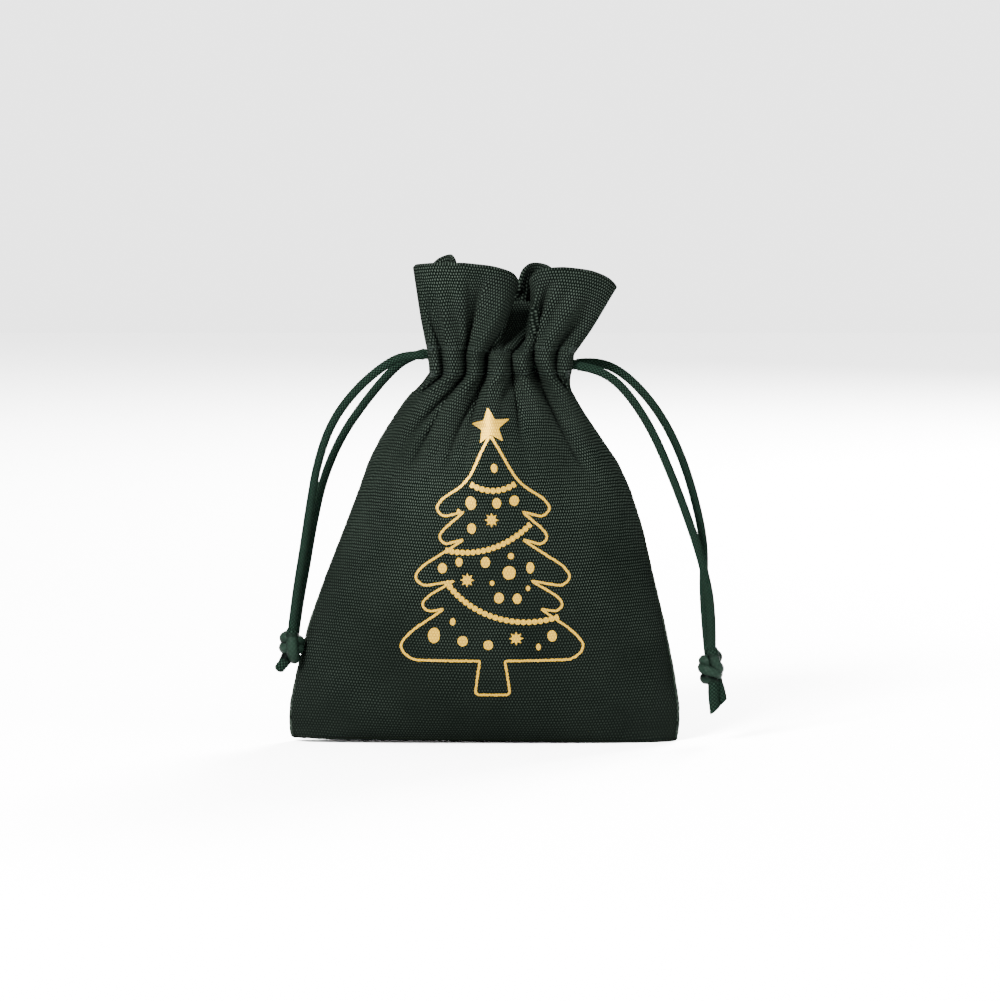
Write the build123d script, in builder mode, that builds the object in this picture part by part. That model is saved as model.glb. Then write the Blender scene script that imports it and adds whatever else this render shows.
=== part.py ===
"""Drawstring gift pouch: a canvas bag on its flattened bottom, its neck gathered by two knotted cords.

Millimetres, +Z up. The front faces -Y, and the origin is at the middle of the base.
"""

import math
import os

from build123d import *

# ---- Driving dimensions -------------------------------------------------------------------------

CLOTH = 1.2  # wall of the body, a canvas with its turned seams
SEAM_GAP = 0.15  # half the gap between front and back cloth, which the seam fills
BODY_TOP = 93.5  # the body ends where the cord channel begins
CHANNEL_TOP = 100.5

# Level, left edge, right edge and half depth of the stuffed body.
BODY_SECTIONS = [
    (0.0, -47.6, 47.6, 8.0),
    (4.0, -49.1, 49.1, 9.0),
    (9.0, -49.3, 49.3, 10.5),
    (18.0, -47.4, 48.0, 13.5),
    (30.0, -44.0, 45.6, 17.0),
    (42.0, -39.7, 42.5, 19.5),
    (54.0, -35.0, 39.6, 20.0),
    (64.0, -31.0, 36.2, 19.0),
    (74.0, -27.2, 31.4, 17.0),
    (82.0, -22.8, 26.4, 14.4),
    (88.5, -18.6, 22.8, 12.0),
    (BODY_TOP, -14.4, 22.6, 10.6),
]

# The gathered neck, where the cords run in a channel through the front and the back.
NECK_LEFT, NECK_RIGHT = -13.7, 22.3
NECK_MIDDLE = (NECK_LEFT + NECK_RIGHT) / 2
NECK_DEPTH = 10.6
NECK_END_DEPTH = 8.8
NECK_INNER = 4.0
RUN_Y = 6.5  # the cords' distance from the middle plane inside the channel

# The heading, the ruffle that stands above the channel.
HEADING_GAP = 0.2
HEADING_TOP = 120.5
HEADING_WALL = 1.6
HEADING_SECTIONS = [
    (CHANNEL_TOP + HEADING_GAP, NECK_LEFT, NECK_RIGHT, 4.2, NECK_DEPTH),
    (108.0, -15.4, 26.6, 4.2, 11.2),
    (115.0, -17.2, 32.6, 4.2, 12.0),
    (HEADING_TOP, -17.6, 33.4, 4.2, 12.4),
]

# Cords
CORD_R = 1.15
CORD_ROOM = 0.2  # clearance between a cord and its channel
LEFT_LEVEL, RIGHT_LEVEL = 98.4, 95.7
PULL = 8.0  # how far a drawstring slides out
EXIT_OUT = 1.2  # the legs leave this far outside the ends of the channel
BRIDGE_IN = 2.3  # a cord crosses from front to back this far inside the other end

# Routes of the four hanging legs, from the end of the channel to inside the knot.
LEFT_FRONT_ROUTE = [
    (NECK_LEFT - EXIT_OUT, -RUN_Y, LEFT_LEVEL),
    (-19.7, -6.6, 98.7),
    (-25.6, -6.2, 95.6),
    (-32.6, -5.5, 89.4),
    (-38.4, -4.6, 81.4),
    (-41.9, -3.6, 71.6),
    (-43.9, -2.9, 60.4),
    (-45.7, -2.6, 48.4),
    (-47.6, -3.0, 37.2),
    (-48.8, -3.6, 26.6),
]
LEFT_BACK_ROUTE = [
    (NECK_LEFT - EXIT_OUT, RUN_Y, LEFT_LEVEL),
    (-19.3, 6.4, 97.3),
    (-24.2, 5.4, 93.2),
    (-30.2, 4.2, 86.0),
    (-36.2, 2.8, 77.4),
    (-40.8, 1.6, 66.6),
    (-43.3, 0.9, 55.2),
    (-45.2, 0.6, 43.8),
    (-46.9, 0.1, 34.8),
    (-48.0, -0.6, 26.6),
]
RIGHT_FRONT_ROUTE = [
    (NECK_RIGHT + EXIT_OUT, -RUN_Y, RIGHT_LEVEL),
    (28.4, -6.6, 95.1),
    (34.8, -6.2, 90.8),
    (41.6, -5.6, 81.0),
    (46.8, -4.8, 69.4),
    (51.4, -4.0, 57.4),
    (55.4, -3.2, 45.2),
    (57.8, -2.7, 33.4),
    (57.6, -2.6, 21.6),
]
RIGHT_BACK_ROUTE = [
    (NECK_RIGHT + EXIT_OUT, RUN_Y, RIGHT_LEVEL),
    (28.6, 6.6, 96.4),
    (35.8, 5.6, 93.2),
    (43.6, 4.2, 84.8),
    (49.4, 3.0, 74.2),
    (53.4, 2.0, 62.0),
    (56.0, 1.3, 49.4),
    (55.4, 0.8, 36.6),
    (57.0, 0.3, 21.6),
]

# Knots: centre, half width and half height. Tails: the points where each end starts and stops.
LEFT_KNOT = (-48.9, -2.1, 24.4, 3.2, 4.0)
RIGHT_KNOT = (57.4, -1.2, 19.0, 3.3, 4.5)
LEFT_TAILS = [
    ((-50.0, -3.3, 22.0), (-52.6, -4.6, 17.6)),
    ((-49.4, -0.9, 21.8), (-51.4, 0.6, 17.0)),
]
RIGHT_TAILS = [
    ((57.6, -2.3, 15.8), (58.6, -3.0, 7.6)),
    ((58.8, -0.2, 16.0), (61.0, 0.4, 9.0)),
]

# Stitches: thread thickness, visible length and spacing.
THREAD = 0.3
STITCH = 1.7
STITCH_PITCH = 2.6
STITCH_ROWS = (94.1, 99.9)

# The foil print: a fir tree between two levels, about a middle line, in the view from the front.
FOIL_CLEAR, FOIL_THICK = 0.02, 0.16
FOIL_REACH = 30.0  # further forward than the cloth reaches
TREE_X = 2.2
TREE_FOOT, TREE_BASE, TREE_PEAK = 12.6, 20.2, 76.0
TREE_LINE = 0.8
STAR_Z, STAR_R = 79.6, 4.3
TRUNK_TOP, TRUNK_FOOT = 3.2, 4.6
# Each tier of boughs, from the top: half width at the tips, level of the tips, half width and
# level of the notch under it. The last tier stands on the straight foot.
TIERS = [
    (12.4, 58.2, 8.2, 56.4),
    (12.8, 51.4, 7.0, 50.4),
    (18.4, 42.2, 11.2, 40.4),
    (16.8, 35.2, 12.2, 33.6),
    (21.8, 23.4, 21.8, TREE_BASE),
]
# Each string of beads: left end, a point between, right end.
GARLANDS = [
    ((-5.6, 65.4), (0.2, 63.8), (6.0, 65.6)),
    ((-10.8, 50.2), (1.6, 50.8), (9.4, 56.6)),
    ((-12.6, 42.0), (-0.6, 33.0), (15.2, 33.6)),
]
BEAD_R, BEAD_PITCH = 0.86, 1.42
# Baubles: place beside the middle line, level, radius.
BAUBLES = [
    (0.6, 69.2, 0.9),
    (-5.6, 60.8, 1.5),
    (1.0, 60.8, 1.2),
    (5.4, 61.4, 1.2),
    (-8.8, 58.6, 0.6),
    (-5.6, 54.6, 1.2),
    (4.6, 47.8, 0.8),
    (-13.0, 44.6, 1.2),
    (-8.8, 46.2, 1.0),
    (-2.0, 46.2, 1.3),
    (4.2, 43.6, 1.7),
    (9.6, 44.8, 1.2),
    (-0.2, 41.0, 0.6),
    (1.6, 37.2, 1.3),
    (6.2, 37.0, 1.2),
    (9.0, 39.6, 0.6),
    (-14.2, 27.4, 1.7),
    (-9.8, 31.0, 0.8),
    (-7.2, 26.0, 1.3),
    (-1.0, 25.0, 1.2),
    (14.6, 27.2, 1.3),
    (11.2, 24.4, 0.7),
]
SPARKLES = [(-0.6, 56.6), (-6.8, 41.6), (5.8, 26.6)]
SPARKLE_R = 1.9


# ---- Body ---------------------------------------------------------------------------------------


def half_lens(level, left, right, depth, side):
    """A face between the middle plane and a bowed edge, on the front (side -1) or the back (1)."""
    with BuildSketch(Plane.XY.offset(level)) as profile:
        with BuildLine():
            ThreePointArc((left, 0), ((left + right) / 2, side * depth), (right, 0))
            Line((right, 0), (left, 0))
        make_face()
    return profile.sketch


def bowed_solid(sections, side):
    """A half of the body's outline as a closed solid, through all its sections."""
    with BuildPart() as half:
        loft([half_lens(*section, side).face() for section in sections])
    return half.part


def grown(sections, by):
    return [(level, left - by, right + by, depth + by) for level, left, right, depth in sections]


def level_cut(sections, level):
    """The sections from a level up, beginning with one at that level between its neighbours."""
    below = [s for s in sections if s[0] <= level][-1]
    above = [s for s in sections if s[0] > level]
    share = (level - below[0]) / (above[0][0] - below[0])
    first = tuple(a + share * (b - a) for a, b in zip(below, above[0]))
    return [first] + above


def panel(side):
    """The front or back cloth of the body, open at the neck and closed at the base."""
    inside = level_cut(grown(BODY_SECTIONS, -CLOTH), CLOTH)
    with BuildPart() as cloth:
        add(bowed_solid(BODY_SECTIONS, side))
        add(bowed_solid(inside, side), mode=Mode.SUBTRACT)
    return cloth.part


def slab(half_width):
    """The thin space about the middle plane that the seams fill."""
    with BuildPart(mode=Mode.PRIVATE) as space:
        with Locations((0, 0, BODY_TOP / 2)):
            Box(200, 2 * half_width, 2 * BODY_TOP)
    return space.part


def make_panels():
    for name, side in (("front_panel", -1), ("back_panel", 1)):
        with BuildPart() as cloth:
            add(panel(side))
            add(slab(SEAM_GAP), mode=Mode.SUBTRACT)
        keep(name, cloth.part)


def make_seams():
    """The sewn edges between the two cloths: two sides and the bottom."""
    with BuildPart() as ring:
        add(panel(-1))
        add(panel(1))
        add(slab(SEAM_GAP - 0.01), mode=Mode.INTERSECT)
    reach = 120
    for name, centre, size in (
        ("left_side_seam", (-reach / 2, 0, BODY_TOP / 2 + CLOTH), (reach, 4, BODY_TOP)),
        ("right_side_seam", (reach / 2, 0, BODY_TOP / 2 + CLOTH), (reach, 4, BODY_TOP)),
        ("bottom_seam", (0, 0, CLOTH / 2), (2 * reach, 4, CLOTH)),
    ):
        with BuildPart() as seam:
            with Locations(centre):
                Box(*size)
            add(ring.part, mode=Mode.INTERSECT)
        keep(name, seam.part)


# ---- Neck and heading ---------------------------------------------------------------------------


def neck_profile(side):
    """The channel's outline from above: bowed outside, straight inside."""
    with BuildSketch(Plane.XY.offset(BODY_TOP)) as profile:
        with BuildLine():
            ThreePointArc(
                (NECK_LEFT, side * NECK_END_DEPTH),
                (NECK_MIDDLE, side * NECK_DEPTH),
                (NECK_RIGHT, side * NECK_END_DEPTH),
            )
            Polyline(
                (NECK_RIGHT, side * NECK_END_DEPTH),
                (NECK_RIGHT, side * NECK_INNER),
                (NECK_LEFT, side * NECK_INNER),
                (NECK_LEFT, side * NECK_END_DEPTH),
            )
        make_face()
    return profile.sketch


def make_channels():
    """The two channels: a slot right through holds both cords, and opens inwards at its ends."""
    room = CORD_R + CORD_ROOM
    slot_low, slot_high = RIGHT_LEVEL - room, LEFT_LEVEL + room
    slot_middle = (slot_low + slot_high) / 2
    notch = BRIDGE_IN + CORD_R + PULL + 2
    for name, side in (("front_channel", -1), ("back_channel", 1)):
        with BuildPart() as channel:
            add(neck_profile(side))
            extrude(amount=CHANNEL_TOP - BODY_TOP)
            with Locations((NECK_MIDDLE, side * RUN_Y, slot_middle)):
                Box(60, 2 * room, slot_high - slot_low, mode=Mode.SUBTRACT)
            for end, inward in ((NECK_LEFT, 1), (NECK_RIGHT, -1)):
                with Locations((end + inward * notch / 2, side * RUN_Y / 2, slot_middle)):
                    Box(notch, RUN_Y, slot_high - slot_low, mode=Mode.SUBTRACT)
        keep(name, channel.part)


def heading_profile(level, left, right, end_depth, depth, side):
    """A band from above, bowed outwards, between the heading's outer and inner faces."""
    middle = (left + right) / 2
    with BuildSketch(Plane.XY.offset(level)) as profile:
        with BuildLine():
            ThreePointArc(
                (left, side * end_depth), (middle, side * depth), (right, side * end_depth)
            )
            Line((right, side * end_depth), (right, side * (end_depth - HEADING_WALL)))
            ThreePointArc(
                (right, side * (end_depth - HEADING_WALL)),
                (middle, side * (depth - HEADING_WALL)),
                (left, side * (end_depth - HEADING_WALL)),
            )
            Line((left, side * (end_depth - HEADING_WALL)), (left, side * end_depth))
        make_face()
    return profile.sketch


def make_headings():
    for name, side in (("front_heading", -1), ("back_heading", 1)):
        with BuildPart() as heading:
            loft([heading_profile(*section, side).face() for section in HEADING_SECTIONS])
        keep(name, heading.part)


# ---- Stitches -----------------------------------------------------------------------------------


BOW_RISE = NECK_DEPTH - NECK_END_DEPTH
BOW_R = ((NECK_RIGHT - NECK_MIDDLE) ** 2 + BOW_RISE**2) / (2 * BOW_RISE)
STITCH_CLEAR = 0.06


def on_channel(x, level, side):
    """A place on the channel's bowed outer face, turned along it."""
    turn = math.asin((x - NECK_MIDDLE) / BOW_R)
    reach = BOW_R + STITCH_CLEAR + THREAD / 2
    y = side * (NECK_DEPTH - BOW_R + reach * math.cos(turn))
    return Location((NECK_MIDDLE + reach * math.sin(turn), y, level), (0, 0, -side * math.degrees(turn)))


def make_channel_stitches():
    """Two rows of running stitches that close each channel, below and above the cords."""
    count = int((NECK_RIGHT - NECK_LEFT - 3) / STITCH_PITCH)
    start = NECK_MIDDLE - (count - 1) * STITCH_PITCH / 2
    for name, side in (("front_channel_stitches", -1), ("back_channel_stitches", 1)):
        with BuildPart() as stitches:
            for level in STITCH_ROWS:
                places = [on_channel(start + i * STITCH_PITCH, level, side) for i in range(count)]
                with Locations(*places):
                    Box(STITCH, THREAD, THREAD)
        keep(name, stitches.part)


def make_exit_tacks():
    """The short upright tacks that hold the cloth's edge beside each mouth of the channel."""
    levels = (STITCH_ROWS[0] + 1.5, STITCH_ROWS[1] - 1.5)
    for name, x in (("left_exit_tacks", NECK_LEFT + 0.6), ("right_exit_tacks", NECK_RIGHT - 0.6)):
        with BuildPart() as tacks:
            with Locations(*[on_channel(x, level, side) for level in levels for side in (-1, 1)]):
                Box(THREAD * 1.5, THREAD, STITCH)
        keep(name, tacks.part)


# ---- Cords --------------------------------------------------------------------------------------


def bend_radii(points):
    """The largest arc at each corner: 0.45 of the shorter run over the tangent of half the turn."""
    radii = []
    for a, b, c in zip(points, points[1:], points[2:]):
        into = Vector(*b) - Vector(*a)
        out = Vector(*c) - Vector(*b)
        half_turn = math.radians(into.get_angle(out)) / 2
        radii.append(0.45 * min(into.length, out.length) / math.tan(half_turn))
    return radii


def cord_along(points, name):
    """A round cord along straight runs joined by arcs, its first end rounded."""
    radii = bend_radii(points)
    with BuildPart() as cord:
        with BuildLine():
            route = FilletPolyline(*points, radius=radii)
        with BuildSketch(Plane(origin=route @ 0, z_dir=route % 0)):
            Circle(CORD_R)
        sweep(path=route)
        share = cord.part.volume / (math.pi * CORD_R**2 * route.length)
        with Locations(route @ 0):
            Sphere(CORD_R)
    print(f"{name}: {route.length:.1f} long, {share:.4f} of its section times its length, radii")
    print("   ", [round(radius, 1) for radius in radii])
    return cord.part


def make_runs():
    """The stretch of each cord inside the channels: out through the front, back through the back."""
    for name, level, mouth, far, way in (
        ("left_cord_run", LEFT_LEVEL, NECK_LEFT, NECK_RIGHT, 1),
        ("right_cord_run", RIGHT_LEVEL, NECK_RIGHT, NECK_LEFT, -1),
    ):
        start = mouth + way * (CORD_R - EXIT_OUT + 0.1)
        turn = far - way * BRIDGE_IN
        with BuildPart() as run:
            with BuildLine():
                route = FilletPolyline(
                    (start, -RUN_Y, level),
                    (turn, -RUN_Y, level),
                    (turn, RUN_Y, level),
                    (start, RUN_Y, level),
                    radius=4.0,
                )
            with BuildSketch(Plane(origin=route @ 0, z_dir=route % 0)):
                Circle(CORD_R)
            sweep(path=route)
        keep(name, run.part)


def make_legs():
    for name, points in (
        ("left_cord_front_leg", LEFT_FRONT_ROUTE),
        ("left_cord_back_leg", LEFT_BACK_ROUTE),
        ("right_cord_front_leg", RIGHT_FRONT_ROUTE),
        ("right_cord_back_leg", RIGHT_BACK_ROUTE),
    ):
        keep(name, cord_along(points, name))


def make_knots():
    """The overhand knot that ties both legs together, as its rounded outer shape."""
    for name, (x, y, z, half_width, half_height) in (
        ("left_knot", LEFT_KNOT),
        ("right_knot", RIGHT_KNOT),
    ):
        with BuildPart(Plane.XY.offset(z)) as knot:
            with Locations((x, y)):
                Cylinder(half_width, 2 * half_height)
            fillet(knot.edges(), half_width * 0.8)
        keep(name, knot.part)


def make_tails():
    for name, tails in (("left_tails", LEFT_TAILS), ("right_tails", RIGHT_TAILS)):
        with BuildPart() as ends:
            for start, stop in tails:
                way = Vector(*stop) - Vector(*start)
                with BuildSketch(Plane(origin=start, z_dir=way)):
                    Circle(CORD_R)
                extrude(amount=way.length)
        keep(name, ends.part)


# ---- Foil print ---------------------------------------------------------------------------------


def foil_skin():
    """A thin skin just off the front cloth, which the print is cut from."""
    with BuildPart() as skin:
        add(bowed_solid(grown(BODY_SECTIONS, FOIL_CLEAR + FOIL_THICK), -1))
        add(bowed_solid(grown(BODY_SECTIONS, FOIL_CLEAR), -1), mode=Mode.SUBTRACT)
        with Locations((0, -2, 0)):
            Box(200, 12, 300, mode=Mode.SUBTRACT)
    return skin.part


def print_foil(name, drawing, skin, beside=None):
    """A drawing in the view from the front, laid onto the cloth as foil, beside another print."""
    with BuildPart() as foil:
        add(drawing)
        extrude(amount=FOIL_REACH, dir=(0, -1, 0))
        add(skin, mode=Mode.INTERSECT)
        if beside:
            add(beside, mode=Mode.SUBTRACT)
    keep(name, foil.part)
    return foil.part


FRONT_VIEW = Plane(origin=(TREE_X, 0, 0), x_dir=(1, 0, 0), z_dir=(0, -1, 0))


def make_tree_outline(skin):
    """Tiers of boughs with rounded tips down both sides, a straight foot and a trunk."""
    half = [(0, TREE_PEAK)]
    for tip, tip_level, notch, notch_level in TIERS:
        half += [(tip, tip_level), (notch, notch_level)]
    half += [(TRUNK_TOP, TREE_BASE), (TRUNK_FOOT, TREE_FOOT)]
    mirrored = [(-x, z) for x, z in reversed(half)]
    with BuildSketch(FRONT_VIEW) as drawing:
        with BuildLine():
            Polyline(*half, *mirrored)
        make_face()
        fillet(drawing.vertices(), TREE_LINE)
        offset(amount=-TREE_LINE, mode=Mode.SUBTRACT)
    return print_foil("foil_tree_outline", drawing.sketch, skin)


def make_star(skin):
    with BuildSketch(FRONT_VIEW) as drawing:
        with BuildLine():
            Polyline(*star_points(0, STAR_Z, 5, STAR_R, 0.42), close=True)
        make_face()
    print_foil("foil_star", drawing.sketch, skin)


def star_points(x, z, count, radius, inner_share):
    """The corners of a star, its first point up."""
    points = []
    for i in range(2 * count):
        reach = Vector(0, radius * (inner_share if i % 2 else 1), 0)
        corner = reach.rotate(Axis.Z, 180 * i / count)
        points.append((x + corner.X, z + corner.Y))
    return points


def make_garlands(skin, outline):
    with BuildSketch(FRONT_VIEW) as drawing:
        for left, middle, right in GARLANDS:
            with BuildLine(mode=Mode.PRIVATE):
                string = ThreePointArc(left, middle, right)
            beads = round(string.length / BEAD_PITCH)
            with Locations(*[string @ (i / beads) for i in range(beads + 1)]):
                Circle(BEAD_R)
    print_foil("foil_garlands", drawing.sketch, skin, outline)


def make_baubles(skin, outline):
    with BuildSketch(FRONT_VIEW) as drawing:
        for x, z, radius in BAUBLES:
            with Locations((x, z)):
                Circle(radius)
    print_foil("foil_baubles", drawing.sketch, skin, outline)


def make_sparkles(skin):
    with BuildSketch(FRONT_VIEW) as drawing:
        for x, z in SPARKLES:
            with BuildLine():
                Polyline(*star_points(x, z, 8, SPARKLE_R, 0.55), close=True)
            make_face()
    print_foil("foil_sparkles", drawing.sketch, skin)


# ---- Files --------------------------------------------------------------------------------------


def keep(name, shape):
    shape.label = name
    export_step(shape, f"parts/{name}.step")


os.makedirs("parts", exist_ok=True)
make_panels()
make_seams()
make_channels()
make_headings()
make_channel_stitches()
make_exit_tacks()
make_runs()
make_legs()
make_knots()
make_tails()
foil = foil_skin()
outline = make_tree_outline(foil)
make_star(foil)
make_garlands(foil, outline)
make_baubles(foil, outline)
make_sparkles(foil)
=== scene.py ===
"""Looks of the drawstring gift pouch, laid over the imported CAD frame.

Cloth, print and thread are worked out in millimetres; every mesh is made in metres.
"""

import math

import bpy
import numpy as np
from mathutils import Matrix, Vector


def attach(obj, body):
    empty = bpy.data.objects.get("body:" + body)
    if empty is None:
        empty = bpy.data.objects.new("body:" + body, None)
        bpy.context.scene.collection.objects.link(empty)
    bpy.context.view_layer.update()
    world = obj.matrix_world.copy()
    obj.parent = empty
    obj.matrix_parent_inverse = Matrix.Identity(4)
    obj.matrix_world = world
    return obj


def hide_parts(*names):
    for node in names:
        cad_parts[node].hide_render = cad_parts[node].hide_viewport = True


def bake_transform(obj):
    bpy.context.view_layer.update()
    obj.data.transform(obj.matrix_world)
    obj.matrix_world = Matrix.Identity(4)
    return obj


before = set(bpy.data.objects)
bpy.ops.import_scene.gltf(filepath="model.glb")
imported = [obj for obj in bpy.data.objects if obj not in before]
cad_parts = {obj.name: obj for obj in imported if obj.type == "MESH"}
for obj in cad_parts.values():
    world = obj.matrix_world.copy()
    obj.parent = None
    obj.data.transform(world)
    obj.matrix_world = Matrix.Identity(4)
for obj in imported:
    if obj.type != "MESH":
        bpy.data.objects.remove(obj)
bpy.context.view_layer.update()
MM = 0.001

# ---- Cord measures ------------------------------------------------------------------------------

# Each drawstring's two legs: the points of their routes, in metres, from the mouth to the knot.
LEFT_FRONT_ROUTE = [
    (-0.0149, -0.0065, 0.0984), (-0.0197, -0.0066, 0.0987), (-0.0256, -0.0062, 0.0956),
    (-0.0326, -0.0055, 0.0894), (-0.0384, -0.0046, 0.0814), (-0.0419, -0.0036, 0.0716),
    (-0.0439, -0.0029, 0.0604), (-0.0457, -0.0026, 0.0484), (-0.0476, -0.0030, 0.0372),
    (-0.0488, -0.0036, 0.0266),
]
LEFT_BACK_ROUTE = [
    (-0.0149, 0.0065, 0.0984), (-0.0193, 0.0064, 0.0973), (-0.0242, 0.0054, 0.0932),
    (-0.0302, 0.0042, 0.0860), (-0.0362, 0.0028, 0.0774), (-0.0408, 0.0016, 0.0666),
    (-0.0433, 0.0009, 0.0552), (-0.0452, 0.0006, 0.0438), (-0.0469, 0.0001, 0.0348),
    (-0.0480, -0.0006, 0.0266),
]
RIGHT_FRONT_ROUTE = [
    (0.0235, -0.0065, 0.0957), (0.0284, -0.0066, 0.0951), (0.0348, -0.0062, 0.0908),
    (0.0416, -0.0056, 0.0810), (0.0468, -0.0048, 0.0694), (0.0514, -0.0040, 0.0574),
    (0.0554, -0.0032, 0.0452), (0.0578, -0.0027, 0.0334), (0.0576, -0.0026, 0.0216),
]
RIGHT_BACK_ROUTE = [
    (0.0235, 0.0065, 0.0957), (0.0286, 0.0066, 0.0964), (0.0358, 0.0056, 0.0932),
    (0.0436, 0.0042, 0.0848), (0.0494, 0.0030, 0.0742), (0.0534, 0.0020, 0.0620),
    (0.0560, 0.0013, 0.0494), (0.0554, 0.0008, 0.0366), (0.0570, 0.0003, 0.0216),
]

# Where each leg's end goes on through the knot and out as a tail, in millimetres about the knot.
LEFT_KNOT = (-48.7, -2.1, 24.4)
LEFT_KNOT_FRONT = [
    (0.1, -1.5, 4.6), (0.09, -1.46, 3.2), (0.21, -2.06, 1.6), (0.26, -2.32, 0.0),
    (0.43, -2.06, -1.6), (0.77, -1.12, -3.0), (0.77, 0.52, -3.1), (0.17, 1.46, -2.1),
    (-1.03, 1.38, -1.0), (-2.06, 0.17, -0.3), (-1.46, -1.2, -0.1), (-0.17, -1.29, -0.3),
    (1.29, -0.86, -0.5), (2.06, 0.43, -0.3), (1.03, 1.55, -0.7), (-0.26, 0.86, -1.7),
    (-0.95, -0.17, -2.5), (-1.72, -0.86, -3.9), (-2.8, -1.4, -5.0), (-3.5, -1.7, -6.1),
]
LEFT_KNOT_BACK = [
    (0.9, 1.5, 4.6), (0.6, 1.2, 3.4), (-0.43, 1.03, 2.8), (-1.81, 0.34, 2.5), (-1.55, -0.95, 2.2),
    (-0.17, -1.29, 2.0), (1.12, -0.86, 1.8), (2.15, 0.26, 1.4), (1.46, 1.55, 0.9), (0.0, 1.89, 0.6),
    (-0.69, 1.29, -1.0), (-1.03, 0.77, -2.6), (-2.0, 0.8, -4.0), (-2.7, 0.9, -5.2),
]
RIGHT_KNOT = (57.5, -1.2, 19.0)
RIGHT_KNOT_FRONT = [
    (0.2, -1.4, 5.0), (0.52, -1.38, 3.6), (0.77, -1.98, 2.0), (1.29, -1.89, 0.7),
    (2.06, -0.77, -0.3), (1.63, 0.77, -0.7), (0.17, 1.55, -0.8), (-1.55, 1.2, -0.3),
    (-2.15, -0.17, 0.0), (-1.38, -1.46, -0.4), (0.17, -1.98, -0.8), (1.46, -1.29, -1.3),
    (1.72, 0.17, -2.0), (0.69, 1.2, -2.7), (-0.86, 0.95, -3.0), (-1.55, -0.17, -3.0),
    (-0.86, -1.2, -2.8), (0.26, -1.2, -3.1), (0.6, -1.1, -4.4), (0.55, -1.0, -6.4),
    (0.75, -0.9, -8.6), (1.05, -0.9, -11.2),
]
RIGHT_KNOT_BACK = [
    (-0.4, 1.5, 5.0), (-0.17, 1.03, 3.9), (0.95, 0.52, 3.5), (1.63, -0.34, 2.9), (1.03, 0.86, 1.9),
    (-0.77, 1.2, 1.6), (-1.98, 0.17, 1.8), (-1.2, -1.2, 1.7), (0.17, -1.03, 1.4), (0.86, 0.17, 0.0),
    (1.03, 0.52, -1.8), (1.55, 0.43, -3.6), (2.3, 0.5, -5.6), (2.7, 0.5, -7.6), (3.0, 0.5, -9.4),
]
# Each drawstring: its legs' routes and lengths in metres, its knot, how its cut ends are slanted and
# rounded, and the way across to the pouch.
DRAWSTRINGS = [
    (
        "left",
        (LEFT_FRONT_ROUTE, LEFT_BACK_ROUTE),
        (0.0866, 0.0834),
        LEFT_KNOT,
        (LEFT_KNOT_FRONT, LEFT_KNOT_BACK),
        (0.0, 1.1),
        1,
    ),
    (
        "right",
        (RIGHT_FRONT_ROUTE, RIGHT_BACK_ROUTE),
        (0.0867, 0.0901),
        RIGHT_KNOT,
        (RIGHT_KNOT_FRONT, RIGHT_KNOT_BACK),
        (0.75, 0.25),
        -1,
    ),
]
CORD_R = 1.15
KNOT_R = 1.4  # the cord's ends, opened up a little where they leave a knot
PRESSED_R = 1.62  # inside a knot, where the turns press each other flat and smooth
KNOT_TIGHT = 0.1  # how much nearer to the knot's middle the pull draws the turns
KNOT_HALF, PRESS_FADE = 4.2, 1.4  # half the height of the pressed turns, and their ends
BRAID_STRANDS = 8  # strands that turn each way round the cord
BRAID_PITCH = 0.96  # along the cord from one crossing to the next
BRAID_RELIEF = 0.24  # depth of the grooves, as a share of the cord's radius
CORD_STEP = 0.17  # from ring to ring along a cord's mesh
CORD_SIDES = 40
SLANT_RINGS = 8  # rings at a cord's end that take up its slant

# The cords inside the channel: their radius, and the way in from the mouth and on to the far turn,
# as how far along and how far from the middle plane.
RUN_R = 0.95
RUN_ENTRY = [(-0.6, 6.5), (0.0, 6.5), (2.9, 6.0), (5.9, 5.0), (8.5, 4.0), (11.9, 3.1)]
RUN_FAR = [(0.0, 3.0), (11.0, 3.0), (14.0, 3.0), (15.0, 2.1)]  # from the neck's middle

# ---- Cloth measures -----------------------------------------------------------------------------

# The flat cloth of one side, cut and hemmed: width, and heights above the bottom seam.
CLOTH_WIDTH = 100.0
FOLD_UNDER = 6.5  # the strip under the pouch, from the bottom seam to the lower edge
SIDE_OPEN = 98.5  # the side seam ends here, below the cords' mouths
CHANNEL_AT = 107.0  # middle of the cord channel
CHANNEL_HALF = 3.3  # from there to either row of stitches
CLOTH_TOP = 131.5
CLOTH_THICK = 0.7
HEM_THICK = 1.2  # from the channel up the cloth is turned in, and so doubled
FOLDS_FROM = 84.0  # the back's gathers fade out at this height
# How far along the gathered front, from 0 at the left to 1, and the height where it is smooth.
FRONT_FOLDS_FROM = [
    (0.0, 86.0), (0.15, 88.0), (0.27, 82.0), (0.4, 78.0), (0.48, 86.0), (0.56, 94.0), (0.64, 86.0),
    (0.74, 72.0), (0.84, 80.0), (1.0, 86.0),
]
# The front's gathers lean to the right under the channel: by which share of the width, about
# which place, how wide about it, and over what height.
DRAWN_BY, DRAWN_AT, DRAWN_WIDE, DRAWN_OVER = 0.085, 0.76, 0.17, 7.0
EDGE_WIDE = 8.0  # the cloth turns to the middle plane this far from a side seam
CHANNEL_Z = 97.3
HEADING_TOP = 120.6
CORNER_LIFT = 1.0  # the left bottom corner stands this far off the floor
LIFT_FROM, LIFT_OVER = 12.0, 61.0  # the base rises to the left from here, and over this width
LIFT_FADE = 14.0  # how far up the rise is still felt
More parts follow.
